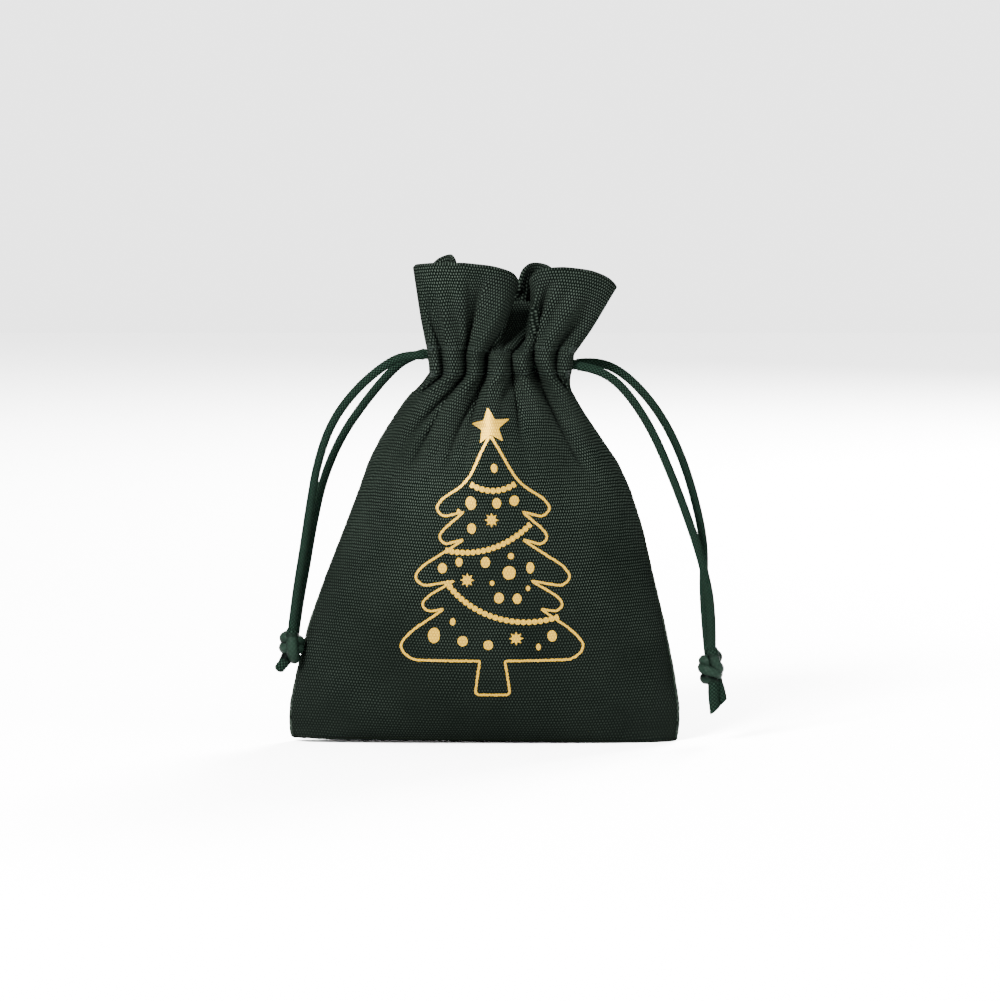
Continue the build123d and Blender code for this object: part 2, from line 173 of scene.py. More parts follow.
# The tunnel round the cords: the neck's middle and half width, its inner wall's distance from the
# middle plane, and how far above and below the channel's middle it meets the cloth.
NECK_MIDDLE = 4.3
NECK_HALF = 18.0
FACING_Y = 0.8
WALL_THICK, WALL_ROWS = 0.5, 16
FLARE, FLARE_WIDE = 3.4, 9.0  # at the mouths the wall stands off further, over this width
WALL_WAVE = 0.98  # both walls wave alike, so that nothing is seen through between them
TUNNEL_UP, TUNNEL_DOWN = 6.2, 7.6

# Level, left edge, right edge and half depth of the stuffed body, in the view from the front.
OUTLINE = [
    (0.0, -48.6, 48.4, 6.0), (4.0, -49.1, 49.2, 8.0), (9.0, -48.9, 49.2, 10.0),
    (18.0, -47.0, 47.8, 13.0), (30.0, -44.0, 45.4, 16.0), (42.0, -39.7, 42.5, 18.5),
    (54.0, -35.0, 39.8, 19.2), (64.0, -31.2, 36.6, 18.6), (71.0, -28.8, 33.4, 17.4),
    (77.0, -25.8, 29.0, 16.0), (84.0, -21.4, 24.0, 13.8), (87.5, -19.0, 22.0, 12.6),
    (90.5, -15.6, 21.0, 11.6), (93.8, -13.3, 21.4, 10.4), (CHANNEL_Z, -13.6, 22.2, 9.6),
]

# Soft hollows of the front under the neck: from here to there across and up, half width, depth.
DENTS = [
    ((-2.6, 89.0), (-7.0, 81.5), 2.4, 4.2), ((-7.0, 81.5), (-12.0, 76.5), 2.8, 2.4),
    ((8.4, 92.0), (8.6, 89.6), 1.7, 4.6), ((12.8, 94.5), (17.4, 85.0), 1.1, 4.4),
    ((17.4, 85.0), (20.0, 73.0), 1.2, 4.0), ((20.4, 73.0), (20.2, 67.0), 2.0, 2.6),
    ((21.6, 73.4), (28.0, 77.4), 1.3, 2.4),
]

# Plan of the gathered neck from above, left to right: place across and depth from the middle.
FRONT_NECK = [
    (-13.8, -8.2), (-12.2, -10.0), (-10.6, -7.0), (-9.2, -9.6), (-7.4, -10.6), (-5.4, -8.6),
    (-4.6, -4.9), (-3.8, -8.8), (-2.3, -11.0), (-0.6, -9.0), (0.5, -4.5), (1.8, -8.6), (4.1, -11.0),
    (6.2, -8.6), (6.8, -4.5), (7.6, -7.8), (9.4, -10.0), (11.4, -8.2), (12.4, -4.7), (13.6, -8.6),
    (15.7, -10.6), (17.2, -8.8), (18.2, -6.6), (19.2, -8.8), (20.8, -9.8), (22.3, -8.2),
]
BACK_NECK = [
    (-13.8, 8.2), (-12.2, 10.0), (-10.2, 9.0), (-9.0, 6.4), (-7.8, 8.6), (-5.8, 10.6), (-3.4, 9.0),
    (-2.4, 4.8), (-1.2, 8.6), (0.8, 10.8), (3.0, 9.0), (3.8, 4.6), (4.8, 8.6), (6.9, 10.6),
    (8.8, 8.4), (9.6, 4.6), (10.6, 8.4), (12.6, 10.6), (14.6, 8.8), (15.4, 5.4), (16.4, 8.4),
    (18.4, 10.2), (20.6, 9.4), (22.3, 8.2),
]
# Plan of the heading a little above the channel, where the cleft between its lobes is widest.
FRONT_WAIST = [
    (-15.4, -5.6), (-14.8, -8.0), (-12.0, -10.6), (-9.0, -10.4), (-7.2, -8.8), (-5.4, -10.2),
    (-3.8, -9.0), (-2.7, -6.2), (-1.4, -9.4), (1.5, -11.4), (4.4, -11.2), (5.9, -9.0), (4.8, -6.2),
    (2.4, -4.0), (1.4, -1.0), (3.4, 2.0), (8.3, 3.0), (12.8, 2.2), (15.4, -0.8), (15.0, -4.2),
    (12.8, -7.0), (11.9, -9.6), (13.6, -11.6), (16.8, -11.9), (19.5, -10.8), (21.4, -8.4),
    (23.4, -8.8), (25.5, -7.8), (26.6, -5.6),
]
BACK_WAIST = [
    (-15.4, 5.6), (-14.6, 8.6), (-12.0, 11.0), (-10.0, 9.0), (-9.0, 4.0), (-8.2, -1.0), (-7.2, 4.0),
    (-6.0, 9.6), (-3.0, 11.6), (-0.6, 9.6), (0.2, 7.0), (1.2, 9.6), (4.0, 11.8), (7.0, 9.8),
    (8.0, 7.0), (9.2, 9.6), (11.4, 11.2), (13.6, 9.8), (15.0, 4.4), (16.2, -1.0), (17.4, 4.4),
    (19.0, 9.8), (21.6, 11.0), (24.6, 9.2), (26.6, 5.6),
]
WAIST_AT = 117.0
# Plan of the heading's top edge: two lobes with a deep cleft between them, and the level of the
# hem at places along it, from -1 at the left edge to 1 at the right.
FRONT_TOP = [
    (-17.5, -4.5), (-16.5, -8.5), (-12.0, -12.2), (-5.0, -13.4), (2.0, -12.8), (7.2, -10.4),
    (8.8, -7.2), (6.8, -4.4), (3.6, -2.0), (3.2, 1.0), (6.6, 2.8), (10.8, 3.0), (14.0, 1.4),
    (14.4, -2.0), (12.4, -4.8), (11.3, -7.4), (12.2, -10.2), (15.5, -11.8), (20.5, -12.0),
    (27.0, -10.6), (31.4, -8.0), (33.2, -5.2),
]
FRONT_HEM = [
    (-1.0, 120.5), (-0.783, 121.4), (-0.629, 121.4), (-0.476, 120.6), (-0.351, 119.2),
    (-0.273, 117.2), (-0.198, 114.6), (-0.111, 112.0), (-0.045, 111.0), (0.038, 110.6),
    (0.13, 110.6), (0.208, 111.0), (0.282, 112.2), (0.357, 114.2), (0.419, 117.2), (0.483, 118.8),
    (0.563, 120.0), (0.672, 120.4), (0.816, 119.6), (0.928, 117.8), (1.0, 115.4),
]
BACK_TOP = [
    (-17.2, 4.0), (-16.8, 8.0), (-13.5, 11.4), (-9.8, 12.4), (-7.8, 9.8), (-7.0, 4.4), (-6.2, 0.6),
    (-5.2, 4.6), (-3.8, 10.4), (0.6, 13.0), (5.2, 12.0), (7.9, 9.4), (8.9, 6.0), (9.9, 8.8),
    (13.0, 12.0), (15.8, 10.4), (17.4, 5.0), (18.4, 0.6), (19.6, 5.4), (21.6, 10.8), (25.6, 11.6),
    (29.6, 9.8), (31.8, 8.0), (33.0, 4.4),
]
BACK_HEM = [
    (-1.0, 119.2), (-0.81, 119.4), (-0.775, 122.4), (-0.68, 123.6), (-0.65, 122.8), (-0.61, 119.0),
    (-0.46, 117.8), (-0.26, 118.2), (-0.18, 117.8), (-0.096, 116.2), (-0.022, 114.9),
    (0.052, 114.2), (0.113, 119.6), (0.15, 120.8), (0.208, 120.9), (0.305, 120.0), (0.384, 119.4),
    (0.57, 117.6), (0.769, 118.4), (0.835, 117.8), (0.912, 116.8), (1.0, 115.2),
]

PLANS = {
    -1: (FRONT_NECK, FRONT_WAIST, FRONT_TOP, FRONT_HEM),
    1: (BACK_NECK, BACK_WAIST, BACK_TOP, BACK_HEM),
}
GRIDS = [
    (47, 36, 400, 200, 0.02, 0.03),
    (93, 71, 260, 120, 0.006, 0.003),
    (185, 141, 160, 40, 0.003, 0.0),
]
SHEAR, BEND = 0.35, 0.12  # how firmly the weave keeps its square shape and resists bending
MIDDLE_GAP = 0.45  # the least distance of the body's cloth from the middle plane
SEWN_SHARE = 0.2  # how much of their distance from the middle plane sewn edges keep
BODY_BELOW = 8.0  # the body ends this far below the channel's middle
GATHERED_BELOW, GATHER_EASE = 3.0, 1.3  # there the gathers are full, and how late they deepen
SLACK = 1.015  # length of a row's threads over that of its plan
# How firmly parts of the cloth are held to their plan, and how much of the cloth each part is.
FOLD_HOLD = 0.3
CHANNEL_HOLD, CHANNEL_HELD = 0.35, 4.2
TOP_HOLD, TOP_HELD = 0.05, 3.0
EDGE_HOLD = 0.25

# ---- Measures and colours of print, thread and canvas -------------------------------------------

# The print, in the view from the front: a fir tree about a middle line.
TREE_X = 2.2
TREE_FOOT, TREE_BASE, TREE_PEAK = 13.6, 22.4, 78.6
TREE_FLARE = (6.0, 67.4)  # above here the top is a narrow cone
TREE_LINE = 0.6
LINE_WAVER, WIDTH_WAVER = 0.035, 0.09  # the print's unevenness, in place and in width
FOIL_SUNK = 0.06  # a foil patch's hidden side lies this deep in the cloth
STAR_Z, STAR_R = 80.7, 4.8
STAR_SLANT, STAR_INNER, STAR_WIDTH = 0.07, 0.42, 0.9
TRUNK_TOP, TRUNK_FOOT = 3.0, 4.3
# Tiers of rounded boughs from the top: the tip's reach, level and roundness, the notch under it.
TIERS = [
    (14.6, 60.8, 2.0, 7.4, 60.2), (14.2, 53.8, 1.8, 7.6, 53.4), (20.0, 43.8, 2.4, 9.8, 43.0),
    (17.8, 36.8, 1.9, 12.0, 35.8), (22.8, 25.8, 3.4, TRUNK_TOP, TREE_BASE),
]
# Each string of beads: left end, a point between, right end.
GARLANDS = [
    ((-5.4, 66.9), (0.2, 65.3), (5.6, 67.0)), ((-12.4, 50.6), (0.8, 51.6), (9.6, 57.2)),
    ((-12.0, 42.8), (-0.8, 34.2), (16.4, 33.6)),
]
BEAD_R, BEAD_PITCH = 0.74, 1.42
BEAD_CUTS, END_CUTS = 10, 3  # pieces of a string from bead to bead, and past its end beads
# Baubles: place beside the middle line, level, radius.
BAUBLES = [
    (0.6, 70.7, 0.9), (-5.6, 62.3, 1.5), (1.0, 62.3, 1.2), (5.4, 62.9, 1.2), (-8.8, 60.1, 0.6),
    (-5.6, 56.1, 1.2), (4.6, 49.3, 0.8), (-13.0, 46.1, 1.2), (-8.8, 47.7, 1.0), (-2.0, 47.7, 1.3),
    (4.2, 45.1, 1.7), (9.6, 46.3, 1.2), (-0.2, 42.5, 0.6), (1.6, 38.7, 1.3), (6.2, 38.5, 1.2),
    (9.0, 41.1, 0.6), (-14.2, 28.9, 1.7), (-9.8, 32.5, 0.8), (-7.2, 27.5, 1.3), (-1.0, 26.5, 1.2),
    (14.6, 28.7, 1.3), (11.2, 25.9, 0.7),
]
BAUBLE_CORNERS = 22
SPARKLES = [(-0.4, 58.2), (-6.6, 43.2), (5.8, 28.2)]
SPARKLE_R, SPARKLE_INNER = 1.9, 0.5

THREAD_R = 0.15
STITCH = 1.8
STITCH_PITCH = 2.6
END_FREE = 2.5  # no stitches this near the cloth's side edges
STITCH_FROM = 2.6  # the first stitch, from the cloth's left edge
# The tacks: their middle from the cloth's edge, half their length, number, pitch and slant.
TACK_AT, TACK_HALF, TACKS, TACK_PITCH, TACK_SLANT = 2.2, 0.9, 5, 0.35, 0.12
SEAM_R, SEAM_STEP, SEAM_SIDES = 0.55, 0.5, 14

UV_SPAN = 100.0  # millimetres of cloth to one unit of the flat layout
DOT_PITCH = 0.767  # from one crossing to the next along a row of the weave
ROW_PITCH = 0.78
PAINTED_LIGHT_LEVELS = (12.0, 75.0)  # from and to these heights the canvas gets lighter: painted light on the upper body
# The canvas's dark and light colours also serve as painted shade between the yarns and painted
# highlight on their tops.
CANVAS_DARK = (0.0002, 0.0004, 0.0003, 1)
CANVAS_LIGHT = (0.0108, 0.0143, 0.0114, 1)
# The cloud colour is random clouds of tone and the painted shade low on the body.
CANVAS_CLOUD_AND_SHADE = (0.0015, 0.0020, 0.0016, 1)
CANVAS_LINT = (0.0130, 0.0170, 0.0140, 1)
# The cord's colours run from painted shade in its grooves to painted highlight on its strands, its own
# dark green between.
CORD_DARK = (0.0001, 0.0003, 0.0002, 1)
CORD_LIGHT = (0.0043, 0.0086, 0.0060, 1)
THREAD_DARK = (0.0004, 0.0008, 0.0006, 1)
THREAD_LIGHT = (0.0042, 0.0062, 0.0050, 1)
FOIL_DARK = (0.090, 0.049, 0.0025, 1)
FOIL_LIGHT = (0.155, 0.096, 0.0065, 1)
FOIL_WORN = (0.030, 0.014, 0.001, 1)

# ---- View and light -----------------------------------------------------------------------------

LENS, SENSOR = 170, 36
VIEW_AIM = (0.00405, 0, 0.0613)
VIEW_WIDTH = 0.2532  # metres across the picture at the object
VIEW_ELEVATION = 5
FLOOR_REACH = 2.0
FLOOR_COLOR = (0.9, 0.9, 0.9, 1)
WORLD_LIGHT = 3.2
# Each lamp: its name, place, size and power.
LAMPS = [
    ("key", (-0.55, -0.85, 0.75), 0.35, 200),
    ("fill", (0.95, -0.5, 0.5), 0.7, 35),
    ("back", (0.5, 0.9, 0.75), 0.5, 150),
]


# ---- Materials ----------------------------------------------------------------------------------


class Nodes:
    """A short way to write a material's node tree."""

    def __init__(self, name):
        self.material = bpy.data.materials.new(name)
        self.material.use_nodes = True
        self.tree = self.material.node_tree
        self.shader = self.tree.nodes["Principled BSDF"]

    def add(self, kind, **settings):
        node = self.tree.nodes.new("ShaderNode" + kind)
        for key, value in settings.items():
            setattr(node, key, value)
        return node

    def link(self, value, socket):
        if isinstance(value, bpy.types.NodeSocket):
            self.tree.links.new(value, socket)
        else:
            socket.default_value = value

    def feed(self, node, **inputs):
        """Link or set a node's inputs by their names."""
        for key, value in inputs.items():
            self.link(value, node.inputs[key.replace("_", " ")])

    def fed(self, node, *values):
        """The output of a node whose first inputs take the values."""
        for value, socket in zip(values, node.inputs):
            self.link(value, socket)
        return node.outputs[0]

    def math(self, operation, *values):
        return self.fed(self.add("Math", operation=operation), *values)

    def times(self, a, b, plus=0.0):
        """a times b, plus something more."""
        return self.math("MULTIPLY_ADD", a, b, plus)

    def plus(self, a, b):
        return self.math("ADD", a, b)

    def without(self, value):
        """What is left of 1 without the value."""
        return self.math("SUBTRACT", 1.0, value)

    def mix(self, share, a, b):
        node = self.add("Mix", data_type="RGBA")
        for value, socket in ((share, 0), (a, 6), (b, 7)):
            self.link(value, node.inputs[socket])
        return node.outputs[2]

    def vector(self, *values):
        return self.fed(self.add("CombineXYZ"), *values)

    def noise(self, place, scale, detail=2.0):
        node = self.add("TexNoise")
        self.feed(node, Vector=place, Scale=scale, Detail=detail)
        return node.outputs["Fac"]

    def between(self, value, low, high):
        """value as a share of the way from low to high, kept from 0 to 1."""
        return self.fed(self.add("MapRange"), value, low, high)

    def layer(self, name):
        """The two coordinates of a UV map."""
        node = self.add("SeparateXYZ")
        self.fed(node, self.add("UVMap", uv_map=name).outputs[0])
        return node.outputs[0], node.outputs[1]

    def bump(self, height, distance, strength):
        node = self.add("Bump")
        self.feed(node, Strength=strength, Distance=distance, Height=height)
        self.feed(self.shader, Normal=node.outputs[0])

    def finish(self, color, roughness, **inputs):
        self.feed(self.shader, Base_Color=color, Roughness=roughness, **inputs)
        return self.material


def weave(n):
    """A plain weave on the flat cloth: its height, its parts, and the place in millimetres."""
    s, t = (n.times(part, UV_SPAN) for part in n.layer("flat"))
    place = n.vector(s, t, 0.0)
    wander = n.noise(place, 0.35, 1.0)
    across = n.math("COSINE", n.times(n.times(wander, 0.5, s), 2 * math.pi / DOT_PITCH))
    up = n.math("SINE", n.times(n.times(wander, -0.5, t), math.pi / ROW_PITCH))
    dots = n.times(n.plus(n.math("ABSOLUTE", up), n.times(across, up)), 0.5)
    weft = n.noise(n.vector(n.times(s, 0.22), n.times(t, 3.1), 4.0), 1.0)
    warp = n.noise(n.vector(n.times(s, 3.1), n.times(t, 0.22), 9.0), 1.0)
    yarn = n.times(n.plus(weft, warp), 0.9, -0.4)
    fibre = n.noise(n.vector(s, t, 2.0), 9.0)
    height = n.plus(dots, n.times(n.plus(yarn, fibre), 0.28))
    return height, dots, yarn, fibre, place, t


def canvas_material():
    """Dark green cotton canvas, its yarns uneven, with painted highlights on the yarns' tops and
    painted shade between them, painted light on the upper body and painted shade low down.
    """
    n = Nodes("canvas")
    height, dots, yarn, fibre, place, level = weave(n)
    # Painted highlight where the yarns come to the top, and painted shade between them.
    top = n.between(n.times(yarn, 0.35, dots), 0.42, 1.12)
    # Painted light: higher up the canvas is painted lighter, in random patches of tone.
    patch = n.between(n.noise(place, 0.045), 0.35, 0.65)
    high = n.between(level, *PAINTED_LIGHT_LEVELS)
    rubbed_and_lit = n.times(patch, 0.30, n.times(high, 0.42, 0.28))
    color = n.mix(n.times(top, rubbed_and_lit), CANVAS_DARK, CANVAS_LIGHT)
    # Darker clouds of random tone, and painted shade that darkens the lower body.
    cloud_and_low_shade = n.between(n.noise(place, 0.07, 3.0), 0.3, 0.7)
    cloud_and_low_shade = n.times(n.without(high), 0.35, n.times(cloud_and_low_shade, 0.25))
    color = n.mix(cloud_and_low_shade, color, CANVAS_CLOUD_AND_SHADE)
    lint = n.between(fibre, 0.62, 0.85)
    color = n.mix(n.times(lint, 0.35), color, CANVAS_LINT)
    n.bump(height, 0.00013, 0.9)
    return n.finish(color, 0.86, Specular_IOR_Level=0.0)


def seam_material():
    """The same canvas on the rolled seams, which have no flat layout."""
    n = Nodes("canvas_turned")
    place = n.add("TexCoord").outputs["Object"]
    grain = n.noise(place, 2600.0)
    share = n.times(n.noise(place, 90.0), 0.4, n.times(grain, 0.8))
    color = n.mix(n.between(share, 0.45, 0.85), CANVAS_DARK, CANVAS_LIGHT)
    n.bump(grain, 0.00015, 0.8)
    return n.finish(color, 0.88, Specular_IOR_Level=0.0)


def cord_material():
    """Satin braid: fine filaments along each strand, their lighter streaks a painted sheen, with
    painted highlights on the strands' middles and tops and painted shade in the grooves between them;
    pressed smooth inside a knot, with painted shade on the turns' inner flanks.
    """
    n = Nodes("satin_cord")
    a, b = n.layer("braid")
    whole_a, whole_b = n.math("FLOOR", a), n.math("FLOOR", b)
    part_a, part_b = n.math("FRACT", a), n.math("FRACT", b)
    over = n.math("FLOORED_MODULO", n.plus(whole_a, whole_b), 2.0)
    under = n.without(over)
    across = n.times(part_a, over, n.times(part_b, under))
    along = n.times(part_b, over, n.times(part_a, under))
    strand = n.times(whole_a, over, n.times(whole_b, under))
    # Filament streaks along each strand: fibre relief, and in colour a painted sheen.
    filament = n.noise(n.vector(n.times(across, 9.0), n.times(along, 0.8), strand), 1.0)
    # Painted highlight on each strand's middle and top, painted shade in the grooves between strands.
    middle = n.without(n.math("ABSOLUTE", n.times(across, 2.0, -1.0)))
    top = n.without(n.math("ABSOLUTE", n.times(along, 2.0, -1.0)))
    share = n.times(middle, n.times(top, 0.75, 0.25))
    share = n.between(n.times(filament, 0.45, share), 0.3, 1.0)
    press, inward_shade = n.layer("press")
    change = n.math("SUBTRACT", n.times(filament, 0.6, 0.25), share)
    share = n.times(n.times(press, 0.8), change, share)
    # Painted shade where the knot's turns face inwards.
    share = n.times(share, n.without(n.between(inward_shade, 0.02, 0.45)))
    color = n.mix(share, CORD_DARK, CORD_LIGHT)
    n.bump(filament, 0.00008, 0.7)
    return n.finish(color, 0.4, Specular_IOR_Level=n.times(press, 0.006))


def thread_material():
    """Sewing thread with a fine ply."""
    n = Nodes("sewing_thread")
    ply = n.noise(n.add("TexCoord").outputs["Object"], 5200.0, 1.0)
    n.bump(ply, 0.00005, 0.6)
    return n.finish(n.mix(ply, THREAD_DARK, THREAD_LIGHT), 0.55, Specular_IOR_Level=0.02)


def foil_material():
    """Gold foil pressed onto the weave: it breaks up a little between the yarns."""
    n = Nodes("gold_foil")
    height, dots, _, fibre, place, _ = weave(n)
    worn = n.times(dots, -0.12, n.noise(place, 2.3, 3.0))
    speck = n.between(worn, 0.60, 0.68)
    tone = n.between(n.plus(dots, fibre), 0.4, 1.4)
    gold = n.mix(tone, FOIL_DARK, FOIL_LIGHT)
    color = n.mix(n.times(speck, 0.55), gold, FOIL_WORN)
    n.bump(height, 0.00005, 0.5)
    return n.finish(color, n.times(speck, 0.2, 0.45), Metallic=0.45, Specular_IOR_Level=0.05)


# ---- Meshes and splines -------------------------------------------------------------------------


def added(name, data):
    """A new object in the scene."""
    obj = bpy.data.objects.new(name, data)
    bpy.context.collection.objects.link(obj)
    return obj


def mesh_piece(name, verts, faces, material, layers=()):
    """A smooth mesh from places in millimetres; layers are its UV maps, a place per face corner."""
    mesh = bpy.data.meshes.new(name)
    mesh.from_pydata((np.asarray(verts) * MM).tolist(), [], [list(f) for f in faces])
    mesh.polygons.foreach_set("use_smooth", [True] * len(mesh.polygons))
    for layer_name, corners in layers:
        layer = mesh.uv_layers.new(name=layer_name)
        layer.data.foreach_set("uv", np.asarray(corners, float).ravel())
    mesh.materials.append(material)
    return added(name, mesh)


def pouch_piece(piece, node):
    """A piece that is fixed to the pouch in place of its CAD node."""
    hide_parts(node)
    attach(piece, "pouch")
    return piece


def unit(vectors):
    """The vectors, each 1 long."""
    return vectors / np.linalg.norm(vectors, axis=-1, keepdims=True)


def spline_points(name, route):
    """The line of a NURBS spline with the route's points as its control points."""
    data = bpy.data.curves.new(name, "CURVE")
    data.dimensions = "3D"
    data.resolution_u = 32
    spline = data.splines.new("NURBS")
    spline.points.add(len(route) - 1)
    for point, place in zip(spline.points, route):
        point.co = (*place, 1)
    spline.order_u = 3
    spline.use_endpoint_u = True
    obj = bpy.data.objects.new(name, data)
    mesh = bpy.data.meshes.new_from_object(obj)
    points = np.array([v.co for v in mesh.vertices])
    bpy.data.meshes.remove(mesh)
    bpy.data.objects.remove(obj)
    bpy.data.curves.remove(data)
    return points


def run_along(points):
    """How far along the line through them each of the points lies."""
    steps = np.linalg.norm(np.diff(points, axis=0), axis=1)
    return np.concatenate([[0], np.cumsum(steps)])


def evenly(points, step=1.0, count=None):
    """Places along the line through the points, a step apart or count of them, and their runs."""
    run = run_along(points)
    at = np.linspace(0, run[-1], count or max(3, round(run[-1] / step) + 1))
    return np.stack([np.interp(at, run, column) for column in points.T], 1), at


def frames_along(points):
    """Two directions square to the line at each of its points, which turn as little as they can."""
    ways = unit(np.gradient(points, axis=0))
    start = np.array([0.0, -1.0, 0.0])
    if abs(ways[0] @ start) > 0.9:
        start = np.array([0.0, 0.0, 1.0])
    sides = []
    for way in ways:
        start = unit(start - way * (start @ way))
        sides.append(start)
    sides = np.array(sides)
    return ways, sides, np.cross(ways, sides)


def tube(points, radii, slant=0.0):
    """Places and faces of a closed tube; radii is a grid, a ring of the tube in each row.

    slant is how far the left side of its last ring is cut back, as a slope.
    """
    rings, count = radii.shape
    ways, sides, ups = frames_along(points)
    turn = (np.arange(count) * 2 * math.pi / count)[:, None]
    offsets = (sides[:, None] * np.cos(turn) + ups[:, None] * np.sin(turn)) * radii[..., None]
    reach = np.clip(SLANT_RINGS - np.arange(rings), 0, SLANT_RINGS)[::-1, None, None] / SLANT_RINGS
    verts = points[:, None] + offsets - slant * reach * ways[:, None] * offsets[..., :1]
    index = np.arange(rings * count).reshape(rings, count)
    after = np.roll(index, -1, axis=1)
    quads = np.stack([index[:-1], after[:-1], after[1:], index[1:]], -1).reshape(-1, 4)
    verts = verts.reshape(-1, 3)
    first, last = len(verts), len(verts) + 1
    verts = np.vstack([verts, verts[:count].mean(0), verts[-count:].mean(0)])
    faces = quads.tolist()
    faces += [[first, b, a] for a, b in zip(index[0], after[0])]
    faces += [[last, a, b] for a, b in zip(index[-1], after[-1])]
    return verts, faces


def joined(parts):
    """Several meshes' places, faces and corner layers as one."""
    verts, faces, corners = [], [], []
    start = 0
    for part_verts, part_faces, part_corners in parts:
        verts.append(part_verts)
        faces += [[v + start for v in face] for face in part_faces]
        corners.append(part_corners)
        start += len(part_verts)
    return np.vstack(verts), faces, np.vstack(corners)


# ---- Cords --------------------------------------------------------------------------------------


def braid_cells(run, turn):
    """Where a place on a braided cord lies, counted in strands of either turn."""
    around = BRAID_STRANDS * turn
    along = run / BRAID_PITCH
    return around + along, around - along


def braid_height(run, turn):
    """From 0 in the grooves between the strands of a braid to 1 on top of a strand."""
    a, b = braid_cells(run, turn)
    over = (np.floor(a) + np.floor(b)) % 2 > 0.5
    fa = a - np.floor(a) - 0.5
    fb = b - np.floor(b) - 0.5
    across = np.where(over, fa, fb)
    along = np.where(over, fb, fa)
    return np.sqrt(1 - 3.6 * across**2) * (0.72 + 0.28 * np.cos(math.pi * along))


def pressed(points, centre):
    """How much the turns of the knot about centre press on each place, from 0 to 1."""
    return np.clip((KNOT_HALF - np.abs(points[:, 2] - centre[2])) / PRESS_FADE, 0, 1)


def braided(points, radius, slant=0.0, rounding=0.0, knot=None):
    """Places, faces and layers of a braided cord; slant and rounding shape its last end.

    knot is the middle of the knot that it is tied into. The layers give each face's corners their place
    in the braid, how hard they are pressed and how far they turn in to the knot, which sets painted
    shade on the turns' inner flanks.
    """
    points, run = evenly(points, CORD_STEP)
    press = np.zeros(len(points)) if knot is None else pressed(points, knot)
    press = press[:, None]
    wrap = np.arange(CORD_SIDES + 1) / CORD_SIDES
    height = braid_height(run[:, None], wrap[:-1])
    relief = BRAID_RELIEF * (1 - 0.8 * press)
    radii = (radius + (PRESSED_R - radius) * press) * (1 - relief * (1 - height))
    if rounding:
        left = np.clip(1 - (run[-1] - run) / rounding, 0, 1)
        radii *= np.sqrt(1 - 0.9 * left**2)[:, None]
    verts, faces = tube(points, radii, slant)
    a, b = braid_cells(run[:, None], wrap)
    inward_shade = np.zeros_like(a)
    # Painted shade on the flanks of the knot's turns that face in towards its middle.
    if knot is not None:
        skin = verts[:-2].reshape(len(points), CORD_SIDES, 3)
        facing = unit(skin - points[:, None]) * unit(skin - np.array(knot))
        inward_shade[:, :-1] = 1 - np.clip(facing.sum(-1), 0, 1)
        inward_shade[:, -1] = inward_shade[:, 0]
    grid = np.stack([a, b, press + 0 * a, inward_shade * press], -1)
    quads = np.stack([grid[:-1, :-1], grid[:-1, 1:], grid[1:, 1:], grid[1:, :-1]], 2)
    caps = np.zeros((3 * 2 * CORD_SIDES, 4))
    return verts, faces, np.vstack([quads.reshape(-1, 4), caps])


def cord_piece(name, parts, material, *nodes):
    """One piece of braided cord in place of its CAD nodes, from what braided() gives."""
    verts, faces, corners = joined(parts)
    # The press layer also carries the painted shade of the knot's inner flanks.
    layers = [("braid", corners[:, :2]), ("press", corners[:, 2:])]
    piece = mesh_piece(name, verts, faces, material, layers)
    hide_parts(*nodes)
    return piece


def make_leg(node, route, material):
    """A drawstring's free leg, from its mouth, where it bends from the run to the loop."""
    path = spline_points(node, route)
    leg = cord_piece(node + "_braid", [braided(path / MM, CORD_R)], material, node)
    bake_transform(leg)


def make_knot(name, centre, strands, end, body, nodes, material):
    """A knot of both legs' ends, with the two tails that come out of it."""
    parts = []
    for strand in strands:
        points = spline_points(name, strand)
        points *= 1 - KNOT_TIGHT * pressed(points, (0, 0, 0))[:, None]
        parts.append(braided(points + np.array(centre), KNOT_R, *end, centre))
    knot = cord_piece(name, parts, material, *nodes)
    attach(knot, body)
    return knot


def make_run(name, mouth, level, inward, body, material):
    """A drawstring's hidden run: in at the front mouth, round the far side and out at the back.
    """
    half = [(mouth + inward * along, -depth, level) for along, depth in RUN_ENTRY]
    half += [(NECK_MIDDLE + inward * along, -depth, level) for along, depth in RUN_FAR]
    points = half + [(x, -y, z) for x, y, z in reversed(half)]
    run = cord_piece(name, [braided(spline_points(name, points), RUN_R)], material, body)
    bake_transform(run)


def make_cords():
    """Both drawstrings: two legs and a knot each, and the run inside the channel."""
    cord = cord_material()
    for side, routes, lengths, centre, strands, end, inward in DRAWSTRINGS:
        run, loop = f"{side}_cord_run", f"{side}_cord_loop"
        nodes = (f"{side}_knot", f"{side}_tails")
        knot = make_knot(f"{side}_cord_knot", centre, strands, end, loop, nodes, cord)
        for face, route, length in zip(("front", "back"), routes, lengths):
            make_leg(f"{side}_cord_{face}_leg", route, cord)
        x, _, z = np.array(routes[0][0]) / MM
        make_run(f"{side}_cord_inside", x, z, inward, run, cord)


# ---- Cloth --------------------------------------------------------------------------------------


def smooth_curve(points, count):
    """A curve through the points, cut into count places evenly along it, and its length."""
    pts = np.array(points, float)
    ext = np.vstack([2 * pts[0] - pts[1], pts, 2 * pts[-1] - pts[-2]])
    t = np.linspace(0, 1, 24, endpoint=False)[:, None]
    fine = []
    for a, b, c, d in zip(ext, ext[1:], ext[2:], ext[3:]):
        bow, twist = 2 * a - 5 * b + 4 * c - d, 3 * b - a - 3 * c + d
        fine.append(0.5 * (2 * b + (c - a) * t + bow * t**2 + twist * t**3))
    curve, run = evenly(np.vstack([*fine, pts[-1:]]), count=count)
    return curve, run[-1]


